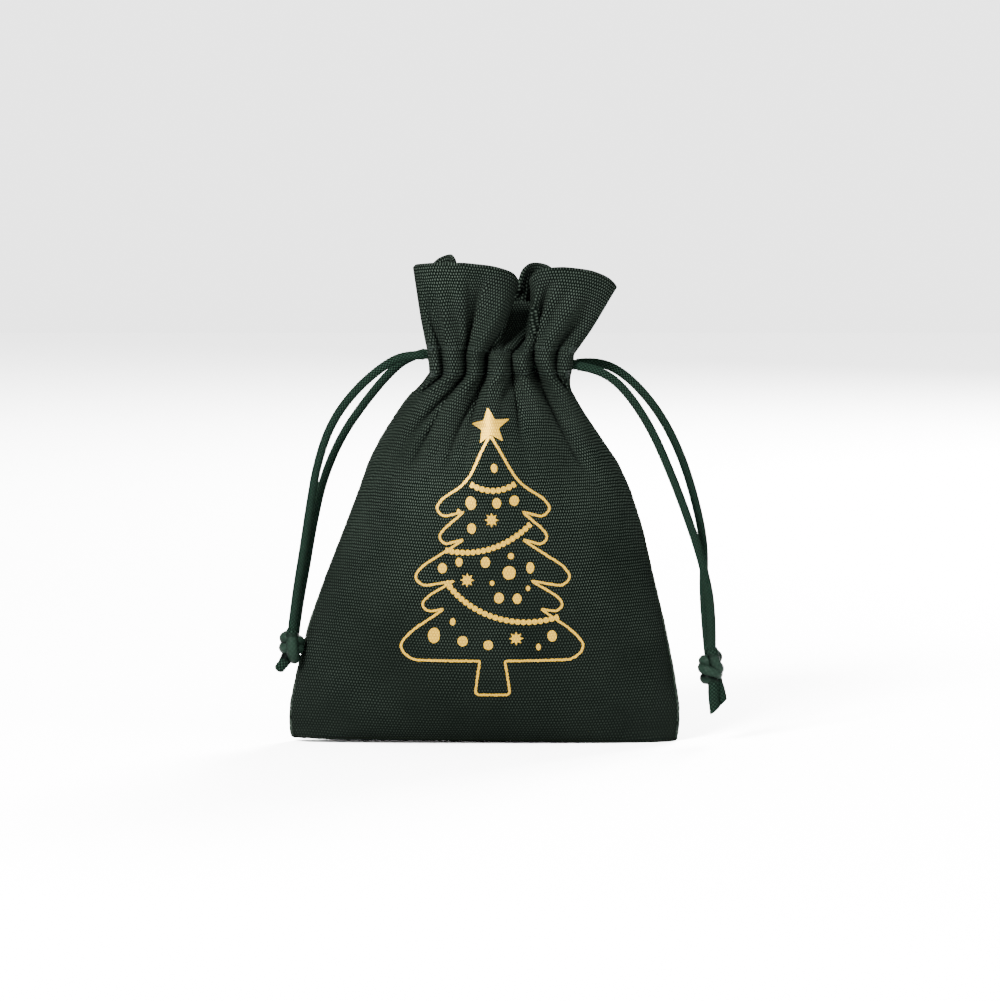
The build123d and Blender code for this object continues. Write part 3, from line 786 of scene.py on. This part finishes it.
def outline_at(z):
    table = np.array(OUTLINE)
    return [np.interp(z, table[:, 0], table[:, k]) for k in (1, 2, 3)]


def level_of(t):
    """The level that a height on the flat cloth comes to, where nothing folds."""
    heights = [0, FOLD_UNDER, CHANNEL_AT, CLOTH_TOP]
    return np.interp(t, heights, [0.5, 0.6, CHANNEL_Z, HEADING_TOP])


def lens_row(z, side, count):
    """A plain bowed row of the body, its places evenly spaced along the bow."""
    left, right, depth = outline_at(z)
    half = (right - left) / 2
    radius = (half**2 + depth**2) / (2 * depth)
    turn = np.linspace(-1, 1, count) * math.asin(min(1.0, half / radius))
    x = (left + right) / 2 + radius * np.sin(turn)
    y = side * (depth - radius + radius * np.cos(turn))
    return np.stack([x, y], 1)


def gathered_row(z, side, neck):
    """The neck's plan spread over the body's width at a level, its right half drawn to the right."""
    left, right, depth = outline_at(z)
    row = neck.copy()
    share = (neck[:, 0] - neck[0, 0]) / (neck[-1, 0] - neck[0, 0])
    if side < 0:
        drawn = DRAWN_BY * np.clip((CHANNEL_Z - z) / DRAWN_OVER, 0, 1)
        share = share + drawn * np.exp(-(((share - DRAWN_AT) / DRAWN_WIDE) ** 2))
    row[:, 0] = left + share * (right - left)
    row[:, 1] *= depth / outline_at(CHANNEL_Z)[2]
    return row


def dent(x, z):
    """How far the front is pushed in at the soft hollows under the neck."""
    depth = np.zeros_like(x)
    for (x0, z0), (x1, z1), wide, deep in DENTS:
        way = np.array([x1 - x0, z1 - z0])
        along = np.clip(((x - x0) * way[0] + (z - z0) * way[1]) / (way @ way), 0, 1)
        off = (x - x0 - along * way[0]) ** 2 + (z - z0 - along * way[1]) ** 2
        depth += deep * np.exp(-off / (2 * wide**2))
    return depth


def body_row(t, z, side, neck, across, folds_from):
    """One row of the cloth up to the channel: a plain bow that turns into gathers."""
    row = lens_row(z, side, len(neck))
    row[:, 1] *= min(t / FOLD_UNDER, 1)
    share = np.clip((t - folds_from) / (CHANNEL_AT - GATHERED_BELOW - folds_from), 0, 1)
    share **= GATHER_EASE
    row = row * (1 - share) + gathered_row(z, side, neck) * share
    near_edge = np.clip(1 - (1 - np.abs(across)) * CLOTH_WIDTH / 2 / EDGE_WIDE, 0, 1)
    slit = np.clip((t - SIDE_OPEN) / (CHANNEL_AT - CHANNEL_HALF - SIDE_OPEN), 0, 1)
    row[:, 1] *= 1 - near_edge * (1 - slit)
    if side < 0:
        row[:, 1] += dent(row[:, 0], z)
    return row


def targets(side, heights, count):
    """Where each place of one side's cloth would lie before it settles, and its threads' lengths."""
    *tables, hem = PLANS[side]
    plans = [smooth_curve(table, count) for table in tables]
    neck, _, top = (plan[0] for plan in plans)
    across = np.linspace(-1, 1, count)
    hem = np.interp(across, *np.array(hem).T)
    folds_from = np.full(count, FOLDS_FROM)
    if side < 0:
        place = (neck[:, 0] - neck[0, 0]) / (neck[-1, 0] - neck[0, 0])
        folds_from = np.interp(place, *np.array(FRONT_FOLDS_FROM).T)
    rows, widths = [], []
    for t in heights:
        if t <= CHANNEL_AT:
            z = np.full(count, float(level_of(t)))
            row = body_row(t, z[0], side, neck, across, folds_from[:, None])
            width = run_along(row)[-1] * SLACK if t > 2 * FOLD_UNDER else CLOTH_WIDTH
        else:
            low = np.clip((t - CHANNEL_AT - 2) / (WAIST_AT - CHANNEL_AT - 2), 0, 1)
            high = np.clip((t - WAIST_AT) / (CLOTH_TOP - WAIST_AT), 0, 1)
            row, width = ((a * (1 - low) + b * low) * (1 - high) + c * high for a, b, c in zip(*plans))
            z = CHANNEL_Z + (hem - CHANNEL_Z) * (t - CHANNEL_AT) / (CLOTH_TOP - CHANNEL_AT)
        rows.append(np.column_stack([row, z]))
        widths.append(np.full((count - 1, 1), width / (count - 1)))
    step = heights[1] - heights[0]
    tall = np.full((len(heights) - 1, count), step)
    rise = np.sqrt(((top - neck) ** 2).sum(1) * 0.7 + (hem - CHANNEL_Z) ** 2)
    tall[heights[:-1] >= CHANNEL_AT] = np.maximum(rise / (CLOTH_TOP - CHANNEL_AT), 0.8) * step
    return np.array(rows), np.array(widths), tall[..., None]


def upsample(p, shape):
    """The same cloth on a finer grid."""
    for axis, n in enumerate(shape):
        old = np.linspace(0, 1, p.shape[axis])
        new = np.linspace(0, 1, n)
        i = np.clip(np.searchsorted(old, new, side="right") - 1, 0, len(old) - 2)
        f = (new - old[i]) / (old[i + 1] - old[i])
        a, b = np.take(p, i, axis), np.take(p, i + 1, axis)
        p = a + (b - a) * f.reshape([-1 if k == axis else 1 for k in range(p.ndim)])
    return p


def pull(a, b, rest, stiff):
    """Move two sets of places along the line between them towards their rest distance."""
    way = b - a
    length = np.sqrt((way * way).sum(-1, keepdims=True)) + 1e-9
    way *= 0.5 * stiff * (length - rest) / length
    a += way
    b -= way


def pull_threads(p, rest):
    """Threads along the rows: their neighbours, in two sets that share no place."""
    for first in (0, 1):
        pull(p[:, first:-1:2], p[:, first + 1 :: 2], rest[:, first::2], 1.0)


def pull_diagonals(p, rest):
    """The weave's resistance to shear, both ways."""
    for first in (0, 1):
        upper = p[first + 1 :: 2]
        lower = p[first:-1:2][: len(upper)]
        pull(lower[:, :-1], upper[:, 1:], rest[first::2], SHEAR)
        pull(lower[:, 1:], upper[:, :-1], rest[first::2], SHEAR)


def outwards(across, up):
    """Unit normals of a grid, from its ways across and up."""
    out = np.cross(across, up)
    return out / (np.linalg.norm(out, axis=-1, keepdims=True) + 1e-9)


def sew(a, b):
    """Bring the places of two edges together near the middle plane."""
    a[:] = (a + b) / 2
    a[:, 1] *= SEWN_SHARE
    b[:] = a


def settle(sides, goals, hold, heights, rounds, blow):
    """Let both cloths find their shape: their threads keep their length and resist bending."""
    sewn = np.searchsorted(heights, SIDE_OPEN, side="right")
    body = (heights < CHANNEL_AT - BODY_BELOW)[:, None, None].astype(float)
    for _ in range(rounds):
        for p, side in zip(sides, (-1, 1)):
            goal, wide, tall = goals[side]
            pull_threads(p, wide)
            pull_threads(p.swapaxes(0, 1), tall.swapaxes(0, 1))
            pull_diagonals(p, np.sqrt(wide[:-1] ** 2 + tall[:, :-1] ** 2))
            p[:, 1:-1] += BEND * ((p[:, :-2] + p[:, 2:]) / 2 - p[:, 1:-1])
            p[1:-1] += BEND * ((p[:-2] + p[2:]) / 2 - p[1:-1])
            out = outwards(p[1:-1, 2:] - p[1:-1, :-2], p[2:, 1:-1] - p[:-2, 1:-1])
            p[1:-1, 1:-1] += -side * blow * out * body[1:-1]
            p += hold[..., None] * (goal - p)
            kept = side * np.maximum(side * p[..., 1:2], MIDDLE_GAP)
            p[..., 1:2] = kept * body + p[..., 1:2] * (1 - body)
            p[..., 2] = np.maximum(p[..., 2], CLOTH_THICK / 2 + 0.02)
        front, back = sides
        for column in (0, -1):
            sew(front[:sewn, column], back[:sewn, column])
        sew(front[0], back[0])


def holding(heights, count, base):
    """How firmly each place is held to its goal."""
    t = heights[:, None]
    hold = FOLD_HOLD * (t < FOLD_UNDER / 2) + CHANNEL_HOLD * (np.abs(t - CHANNEL_AT) < CHANNEL_HELD)
    hold = hold + TOP_HOLD * (t > CLOTH_TOP - TOP_HELD)
    edge = np.abs(np.linspace(-1, 1, count)) > 1 - 1.2 / count
    return np.maximum(np.maximum(hold, EDGE_HOLD * edge), base)


def make_cloths():
    """Both sides' cloth, settled on finer and finer grids."""
    sides = None
    for rows, cols, rounds, quick_rounds, blow, base in GRIDS:
        heights = np.linspace(0, CLOTH_TOP, rows)
        goals = {side: targets(side, heights, cols) for side in (-1, 1)}
        if sides is None:
            sides = [goals[-1][0].copy(), goals[1][0].copy()]
        else:
            sides = [upsample(p, (rows, cols)) for p in sides]
        settle(sides, goals, holding(heights, cols, base), heights, rounds, blow)
    return sides


def normals(p, side):
    """Unit normals of a cloth's grid, away from the pouch."""
    return outwards(np.gradient(p, axis=1), np.gradient(p, axis=0)) * (-side)


def lift_corner(p):
    """The base rises a little towards the left corner."""
    share = np.clip((LIFT_FROM - p[..., 0]) / LIFT_OVER, 0, 1) ** 1.3
    p[..., 2] += CORNER_LIFT * share * np.exp(-p[..., 2] / LIFT_FADE)


def shell(name, p, side, outer, inner, heights, material):
    """A closed cloth piece about a grid of places, with a rounded rim; its layer is the flat cloth.

    outer and inner are how far its faces lie from the grid, in each row.
    """
    rows, cols = p.shape[:2]
    n = normals(p, side)
    outer = np.broadcast_to(outer, rows)[:, None, None]
    inner = np.broadcast_to(inner, rows)[:, None, None]
    index = np.arange(rows * cols).reshape(rows, cols)
    quads = np.stack([index[:-1, :-1], index[:-1, 1:], index[1:, 1:], index[1:, :-1]], -1)
    quads = quads.reshape(-1, 4)
    if side > 0:
        quads = quads[:, ::-1]
    ring = np.concatenate([index[0, :-1], index[:-1, -1], index[-1, :0:-1], index[:0:-1, 0]])
    inward = np.zeros_like(p)
    inward[0] += p[1] - p[0]
    inward[-1] += p[-2] - p[-1]
    inward[:, 0] += p[:, 1] - p[:, 0]
    inward[:, -1] += p[:, -2] - p[:, -1]
    inward /= np.linalg.norm(inward, axis=-1, keepdims=True) + 1e-9
    rim = p + n * (outer - inner) / 2 - inward * (outer + inner) / 2 * 0.9
    after = np.roll(ring, -1)
    here = 2 * rows * cols + np.arange(len(ring))
    there = np.roll(here, -1)
    lower = np.stack([ring, here, there, after], -1)
    upper = np.stack([here, ring + rows * cols, after + rows * cols, there], -1)
    if side > 0:
        lower, upper = lower[:, ::-1], upper[:, ::-1]
    verts = [grid.reshape(-1, 3) for grid in (p + n * outer, p - n * inner, rim)]
    verts = np.vstack([*verts[:2], verts[2][ring]])
    faces = np.vstack([quads, quads[:, ::-1] + rows * cols, lower, upper])
    s, t = np.meshgrid(np.linspace(0, CLOTH_WIDTH, cols), heights)
    flat = np.stack([s, t], -1).reshape(-1, 2)
    flat = np.vstack([flat, flat, flat[ring]]) / UV_SPAN
    return mesh_piece(name, verts, faces, material, [("flat", flat[faces].reshape(-1, 2))])


def make_cloth(name, p, side, material):
    """One side's cloth, single up to the channel's upper stitches and turned in above them."""
    heights = np.linspace(0, CLOTH_TOP, p.shape[0])
    doubled = np.clip((heights - CHANNEL_AT - CHANNEL_HALF) / 1.5, 0, 1)
    inner = CLOTH_THICK / 2 + (HEM_THICK - CLOTH_THICK) * doubled
    return shell(name, p, side, CLOTH_THICK / 2, inner, heights, material)


def make_tunnel_wall(name, p, side, material):
    """The tunnel's inner wall, from the cloth's inner face round behind the cord and back to it."""
    rows, cols = p.shape[:2]
    heights = np.linspace(0, CLOTH_TOP, rows)
    inner = p - normals(p, side) * (CLOTH_THICK / 2 + 0.1)
    levels = np.linspace(CHANNEL_AT - TUNNEL_DOWN, CHANNEL_AT + TUNNEL_UP, WALL_ROWS)
    grid = np.empty((WALL_ROWS, cols, 3))
    for k in range(3):
        for j in range(cols):
            grid[:, j, k] = np.interp(levels, heights, inner[:, j, k])
    share = np.minimum(1.15 * np.sin(math.pi * np.linspace(0, 1, WALL_ROWS)) ** 0.5, 1.0)
    x = grid[..., 0]
    from_end = NECK_HALF - np.abs(x - NECK_MIDDLE)
    flare = np.clip(1 - from_end / FLARE_WIDE, 0, 1) ** 1.5
    folds = WALL_WAVE * np.sin(x * 1.1 + 0.4 * np.sin(x * 0.9))
    wall = side * (FACING_Y + FLARE * flare) + folds * (1 - flare)
    grid[..., 1] += (wall - grid[..., 1]) * share[:, None]
    return shell(name, grid, side, WALL_THICK / 2, WALL_THICK / 2, levels, material)


# ---- Print --------------------------------------------------------------------------------------


def print_map(front):
    """From a drawing in the view from the front, in millimetres, to places on the flat cloth."""
    rows, cols = front.shape[:2]
    s, t = np.meshgrid(np.linspace(0, CLOTH_WIDTH, cols), np.linspace(0, CLOTH_TOP, rows))
    x, z = front[..., 0] - TREE_X, front[..., 2]
    near = (z > 6) & (z < 88) & (np.abs(x) < 27)

    def terms(x, z):
        x, z = x / 40.0, (z - 46) / 40.0
        return np.stack([x**i * z**j for i in range(4) for j in range(4) if i + j < 5], -1)

    fit = np.linalg.lstsq(terms(x[near], z[near]), np.stack([s[near], t[near]], -1), rcond=None)[0]
    return lambda points: terms(np.asarray(points)[:, 0], np.asarray(points)[:, 1]) @ fit


def on_cloth(p, side, flat, lift):
    """Places over the outer face of a cloth, from places on the flat cloth."""
    rows, cols = p.shape[:2]
    n = normals(p, side)
    col = np.clip(flat[:, 0] / CLOTH_WIDTH * (cols - 1), 0, cols - 1.001)
    row = np.clip(flat[:, 1] / CLOTH_TOP * (rows - 1), 0, rows - 1.001)
    i, j = row.astype(int), col.astype(int)
    f, g = (row - i)[:, None], (col - j)[:, None]

    def blended(grid):
        low = grid[i, j] * (1 - g) + grid[i, j + 1] * g
        high = grid[i + 1, j] * (1 - g) + grid[i + 1, j + 1] * g
        return low * (1 - f) + high * f

    outer = blended(p + n * (CLOTH_THICK / 2))
    return outer + unit(blended(n)) * np.broadcast_to(lift, len(flat))[:, None]


def ribbon(line, half, closed):
    """A stroke of foil along a line: its points, faces and rims."""
    line = np.asarray(line, float)
    if closed:
        way = np.roll(line, -1, axis=0) - np.roll(line, 1, axis=0)
    else:
        way = np.gradient(line, axis=0)
    way = unit(way)
    left = np.stack([-way[:, 1], way[:, 0]], 1) * np.broadcast_to(half, len(line))[:, None]
    points = np.stack([line + left, line, line - left], 1).reshape(-1, 2)
    count = len(line)
    faces = []
    for i in range(count if closed else count - 1):
        a, b = 3 * i, 3 * ((i + 1) % count)
        faces += [(a, a + 1, b + 1, b), (a + 1, a + 2, b + 2, b + 1)]
    outer = [3 * i for i in range(count)]
    inner = [3 * i + 2 for i in range(count)]
    if closed:
        return points, faces, [outer[::-1], inner]
    return points, faces, [outer[::-1] + [1] + inner + [3 * count - 2]]


def blob(outline, centre):
    """A filled patch of foil, its rings drawn in towards its centre."""
    outline = np.asarray(outline, float)
    centre = np.asarray(centre, float)
    count = len(outline)
    rings = [centre + (outline - centre) * share for share in (1.0, 0.66, 0.33)]
    faces = []
    for start in range(0, 2 * count, count):
        for i in range(count):
            a, b = start + i, start + (i + 1) % count
            faces.append((a, b, b + count, a + count))
    faces += [(2 * count + i, 2 * count + (i + 1) % count, 3 * count) for i in range(count)]
    return np.vstack([*rings, centre[None]]), faces, [list(range(count))]


def make_foil(node, shapes, lift, front, to_flat, material):
    """A foil piece of many thin closed patches that follow the cloth."""
    verts, faces, flats = [], [], []
    start = 0
    for points, patch, rims in shapes:
        flat = to_flat(points)
        count = len(points)
        verts += [on_cloth(front, -1, flat, lift), on_cloth(front, -1, flat, -FOIL_SUNK)]
        flats += [flat, flat]
        faces += [[v + start for v in face] for face in patch]
        faces += [[v + start + count for v in face[::-1]] for face in patch]
        for rim in rims:
            for a, b in zip(rim, rim[1:] + rim[:1]):
                faces.append([b + start, a + start, a + start + count, b + start + count])
        start += 2 * count
    flats = np.vstack(flats) / UV_SPAN
    corners = np.vstack([flats[face] for face in faces])
    piece = mesh_piece(node + "_print", np.vstack(verts), faces, material, [("flat", corners)])
    piece.data.set_sharp_from_angle(angle=0.6)
    return pouch_piece(piece, node)


def rounded(corners, radii):
    """A closed outline through the corners, each turned in a short curve."""
    corners = np.asarray(corners, float)
    line = []
    u = np.linspace(0, 1, 9)[:, None]
    for before, corner, after, radius in zip(
        np.roll(corners, 1, axis=0), corners, np.roll(corners, -1, axis=0), radii
    ):
        back, ahead = before - corner, after - corner
        reach = min(radius, 0.48 * np.linalg.norm(back), 0.48 * np.linalg.norm(ahead))
        start, end = corner + unit(back) * reach, corner + unit(ahead) * reach
        line.append(start * (1 - u) ** 2 + 2 * corner * u * (1 - u) + end * u**2)
    line = np.vstack(line)
    return evenly(np.vstack([line, line[:1]]), 0.35)[0][:-1]


def star_points(x, z, count, radius, inner_share, slant=0.0):
    """The corners of a star, its first point up, or leaning left by a slant in radians."""
    points = []
    for i in range(2 * count):
        reach = radius * (inner_share if i % 2 else 1)
        turn = math.pi * i / count + slant
        points.append((x - reach * math.sin(turn), z + reach * math.cos(turn)))
    return points


def arc_through(a, b, c, count):
    """Points along the circle through three points."""
    a, b, c = complex(*a), complex(*b), complex(*c)
    w = (c - a) / (b - a)
    centre = a + (b - a) * (w - abs(w) ** 2) / (2j * w.imag)
    full = 2 * math.pi
    start, middle, end = (math.atan2((p - centre).imag, (p - centre).real) for p in (a, b, c))
    sweep = (end - start) % full
    if (middle - start) % full > sweep:
        sweep -= full
    points = centre + abs(a - centre) * np.exp(1j * (start + sweep * np.linspace(0, 1, count)))
    return np.stack([points.real, points.imag], 1)


def tree_outline(rng):
    """The tree's closed line, its tiers of boughs mirrored about the middle."""
    half = [(0, TREE_PEAK), TREE_FLARE]
    bends = [0.8, 4.0]
    for tip, level, bend, notch, notch_level in TIERS:
        inward = tip - 0.9 * bend
        half += [(inward, level + 1.2 * bend), (tip, level), (inward, level - bend)]
        half.append((notch, notch_level))
        bends += [1.4 * bend, bend, 1.3 * bend, 0.5]
    half.append((TRUNK_FOOT, TREE_FOOT))
    bends.append(1.2)
    corners = half + [(-x, z) for x, z in reversed(half[1:])]
    line = rounded(corners, bends + bends[:0:-1])
    line += rng.normal(0, LINE_WAVER, line.shape)
    return ribbon(line, TREE_LINE / 2 * (1 + rng.normal(0, WIDTH_WAVER, len(line))), True)


def star():
    """The star on the tree's peak."""
    outline = rounded(star_points(0, STAR_Z, 5, STAR_R, STAR_INNER, STAR_SLANT), [0.3] * 10)
    outline[:, 0] *= STAR_WIDTH
    return blob(outline, (0, STAR_Z))


def garland(left, middle, right):
    """A string of beads that touch, along an arc."""
    string = arc_through(left, middle, right, 400)
    beads = round(run_along(string)[-1] / BEAD_PITCH)
    count = beads * BEAD_CUTS + 2 * END_CUTS + 1
    place = (np.arange(count) - END_CUTS) / BEAD_CUTS
    from_bead = (place - np.round(np.clip(place, 0, beads))) * BEAD_PITCH
    half_width = np.sqrt(np.maximum(BEAD_R**2 - from_bead**2, 0.04))
    return ribbon(arc_through(left, middle, right, count), half_width, False)


def bauble(x, z, radius, rng):
    """A round bauble, not quite even and a little taller than wide."""
    turn = np.arange(BAUBLE_CORNERS) * 2 * math.pi / BAUBLE_CORNERS
    reach = radius * (1 + rng.normal(0, 0.025, BAUBLE_CORNERS))
    tall = rng.uniform(1.0, 1.2)
    return blob(np.stack([x + reach * np.cos(turn) / tall, z + reach * np.sin(turn) * tall], 1), (x, z))


def sparkle(x, z):
    return blob(rounded(star_points(x, z, 8, SPARKLE_R, SPARKLE_INNER), [0.15] * 16), (x, z))


def print_tree(front):
    """The whole print: a fir tree with a star, strings of beads, baubles and sparkles."""
    gold = foil_material()
    rng = np.random.default_rng(5)
    to_flat = print_map(front)
    pieces = []
    for node, shapes, lift in (
        ("foil_tree_outline", [tree_outline(rng)], 0.05),
        ("foil_star", [star()], 0.12),
        ("foil_garlands", [garland(*string) for string in GARLANDS], 0.10),
        ("foil_baubles", [bauble(*place, rng) for place in BAUBLES], 0.05),
        ("foil_sparkles", [sparkle(*place) for place in SPARKLES], 0.05),
    ):
        pieces.append(make_foil(node, shapes, lift, front, to_flat, gold))
    return pieces


# ---- Stitches and seams -------------------------------------------------------------------------


def stitch(p, side, start, end):
    """One stitch over the outer face of a cloth, its ends sunk in."""
    share = np.linspace(0, 1, 7)
    flat = np.array(start) + (np.array(end) - np.array(start)) * share[:, None]
    lift = THREAD_R * (1.9 * np.sin(math.pi * share) ** 0.4 - 1.1)
    verts, faces = tube(on_cloth(p, side, flat, lift), np.full((7, 7), THREAD_R))
    return verts, faces, np.zeros((0, 2))


def make_thread(node, stitches, material):
    verts, faces, _ = joined(stitches)
    return pouch_piece(mesh_piece(node + "_thread", verts, faces, material), node)


def make_stitches(front, back):
    """Two rows along each channel, and the tacks that close its ends."""
    thread = thread_material()
    rng = np.random.default_rng(8)
    pieces = {"front": [], "back": []}
    stitch_rows = (CHANNEL_AT - CHANNEL_HALF, CHANNEL_AT + CHANNEL_HALF)
    for face, p, side in (("front", front, -1), ("back", back, 1)):
        stitches = []
        for row in stitch_rows:
            for i in range(int((CLOTH_WIDTH - 2 * END_FREE) / STITCH_PITCH)):
                start = STITCH_FROM + i * STITCH_PITCH + rng.normal(0, 0.06)
                first, last = row + rng.normal(0, 0.05, 2)
                stitches.append(stitch(p, side, (start, first), (start + STITCH, last)))
        pieces[face].append(make_thread(f"{face}_channel_stitches", stitches, thread))
    for end, s in (("left", TACK_AT), ("right", CLOTH_WIDTH - TACK_AT)):
        stitches = []
        for p, side in ((front, -1), (back, 1)):
            for row in stitch_rows:
                for i in range(TACKS):
                    t = row + TACK_PITCH * (i - TACKS // 2)
                    tack_end = (s + TACK_HALF, t + TACK_SLANT * (-1) ** i)
                    stitches.append(stitch(p, side, (s - TACK_HALF, t), tack_end))
        pieces["front"].append(make_thread(f"{end}_exit_tacks", stitches, thread))
    return pieces


def make_seams(front):
    """The turned seams: a soft roll up each side and along the bottom."""
    canvas = seam_material()
    sewn = np.linspace(0, CLOTH_TOP, front.shape[0]) <= SIDE_OPEN
    pieces = []
    for name, line in (
        ("left_side_seam", front[sewn, 0]),
        ("right_side_seam", front[sewn, -1]),
        ("bottom_seam", front[0]),
    ):
        points, run = evenly(line, SEAM_STEP)
        points[:, 2] = np.maximum(points[:, 2], SEAM_R)
        radii = SEAM_R * (1 + 0.05 * np.sin(run * 1.7) + 0.04 * np.sin(run * 4.1))
        closing = np.minimum(run, run[-1] - run)
        radii *= np.sqrt(np.clip(0.2 + closing / 0.8, 0, 1))
        verts, faces = tube(points, np.repeat(radii[:, None], SEAM_SIDES, 1))
        pieces.append(pouch_piece(mesh_piece(name + "_roll", verts, faces, canvas), name))
    return pieces


def make_pouch():
    """Both cloths with all that is sewn to them or printed on them."""
    front, back = make_cloths()
    lift_corner(front)
    lift_corner(back)
    canvas = canvas_material()
    seams = make_seams(front)
    threads = make_stitches(front, back)
    prints = print_tree(front)
    for face, p, side, extra in (("front", front, -1, prints), ("back", back, 1, seams)):
        cloth = make_cloth(f"{face}_cloth", p, side, canvas)
        wall = make_tunnel_wall(f"{face}_tunnel_wall", p, side, canvas)
        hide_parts(f"{face}_panel", f"{face}_heading")
        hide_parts(f"{face}_channel")
        for piece in (cloth, wall):
            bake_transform(piece)


# ---- Camera, floor and light --------------------------------------------------------------------


def make_camera():
    data = bpy.data.cameras.new("camera")
    data.sensor_width = SENSOR
    data.lens = LENS
    data.clip_start = 0.05
    cam = added("camera", data)
    elevation = math.radians(VIEW_ELEVATION)
    reach = VIEW_WIDTH * LENS / SENSOR
    cam.location = Vector(VIEW_AIM) + Vector((0, -math.cos(elevation), math.sin(elevation))) * reach
    cam.rotation_euler = (math.radians(90) - elevation, 0, 0)
    bpy.context.scene.camera = cam


def make_floor():
    mesh = bpy.data.meshes.new("floor")
    r = FLOOR_REACH
    mesh.from_pydata([(-r, -r, 0), (r, -r, 0), (r, r, 0), (-r, r, 0)], [], [(0, 1, 2, 3)])
    mesh.materials.append(Nodes("floor").finish(FLOOR_COLOR, 0.8))
    added("floor", mesh)


def make_light():
    """A white room with a key, a fill and a back light."""
    world = bpy.data.worlds.new("studio")
    world.use_nodes = True
    background = world.node_tree.nodes["Background"]
    background.inputs["Color"].default_value = (1, 1, 1, 1)
    background.inputs["Strength"].default_value = WORLD_LIGHT
    bpy.context.scene.world = world
    for name, place, size, power in LAMPS:
        data = bpy.data.lights.new(name, "AREA")
        data.size = size
        data.energy = power
        lamp = added(name, data)
        lamp.location = place
        aim = Vector((0, 0, 0.06)) - Vector(place)
        lamp.rotation_euler = aim.to_track_quat("-Z", "Y").to_euler()


make_camera()
make_cords()
make_pouch()
make_floor()
make_light()
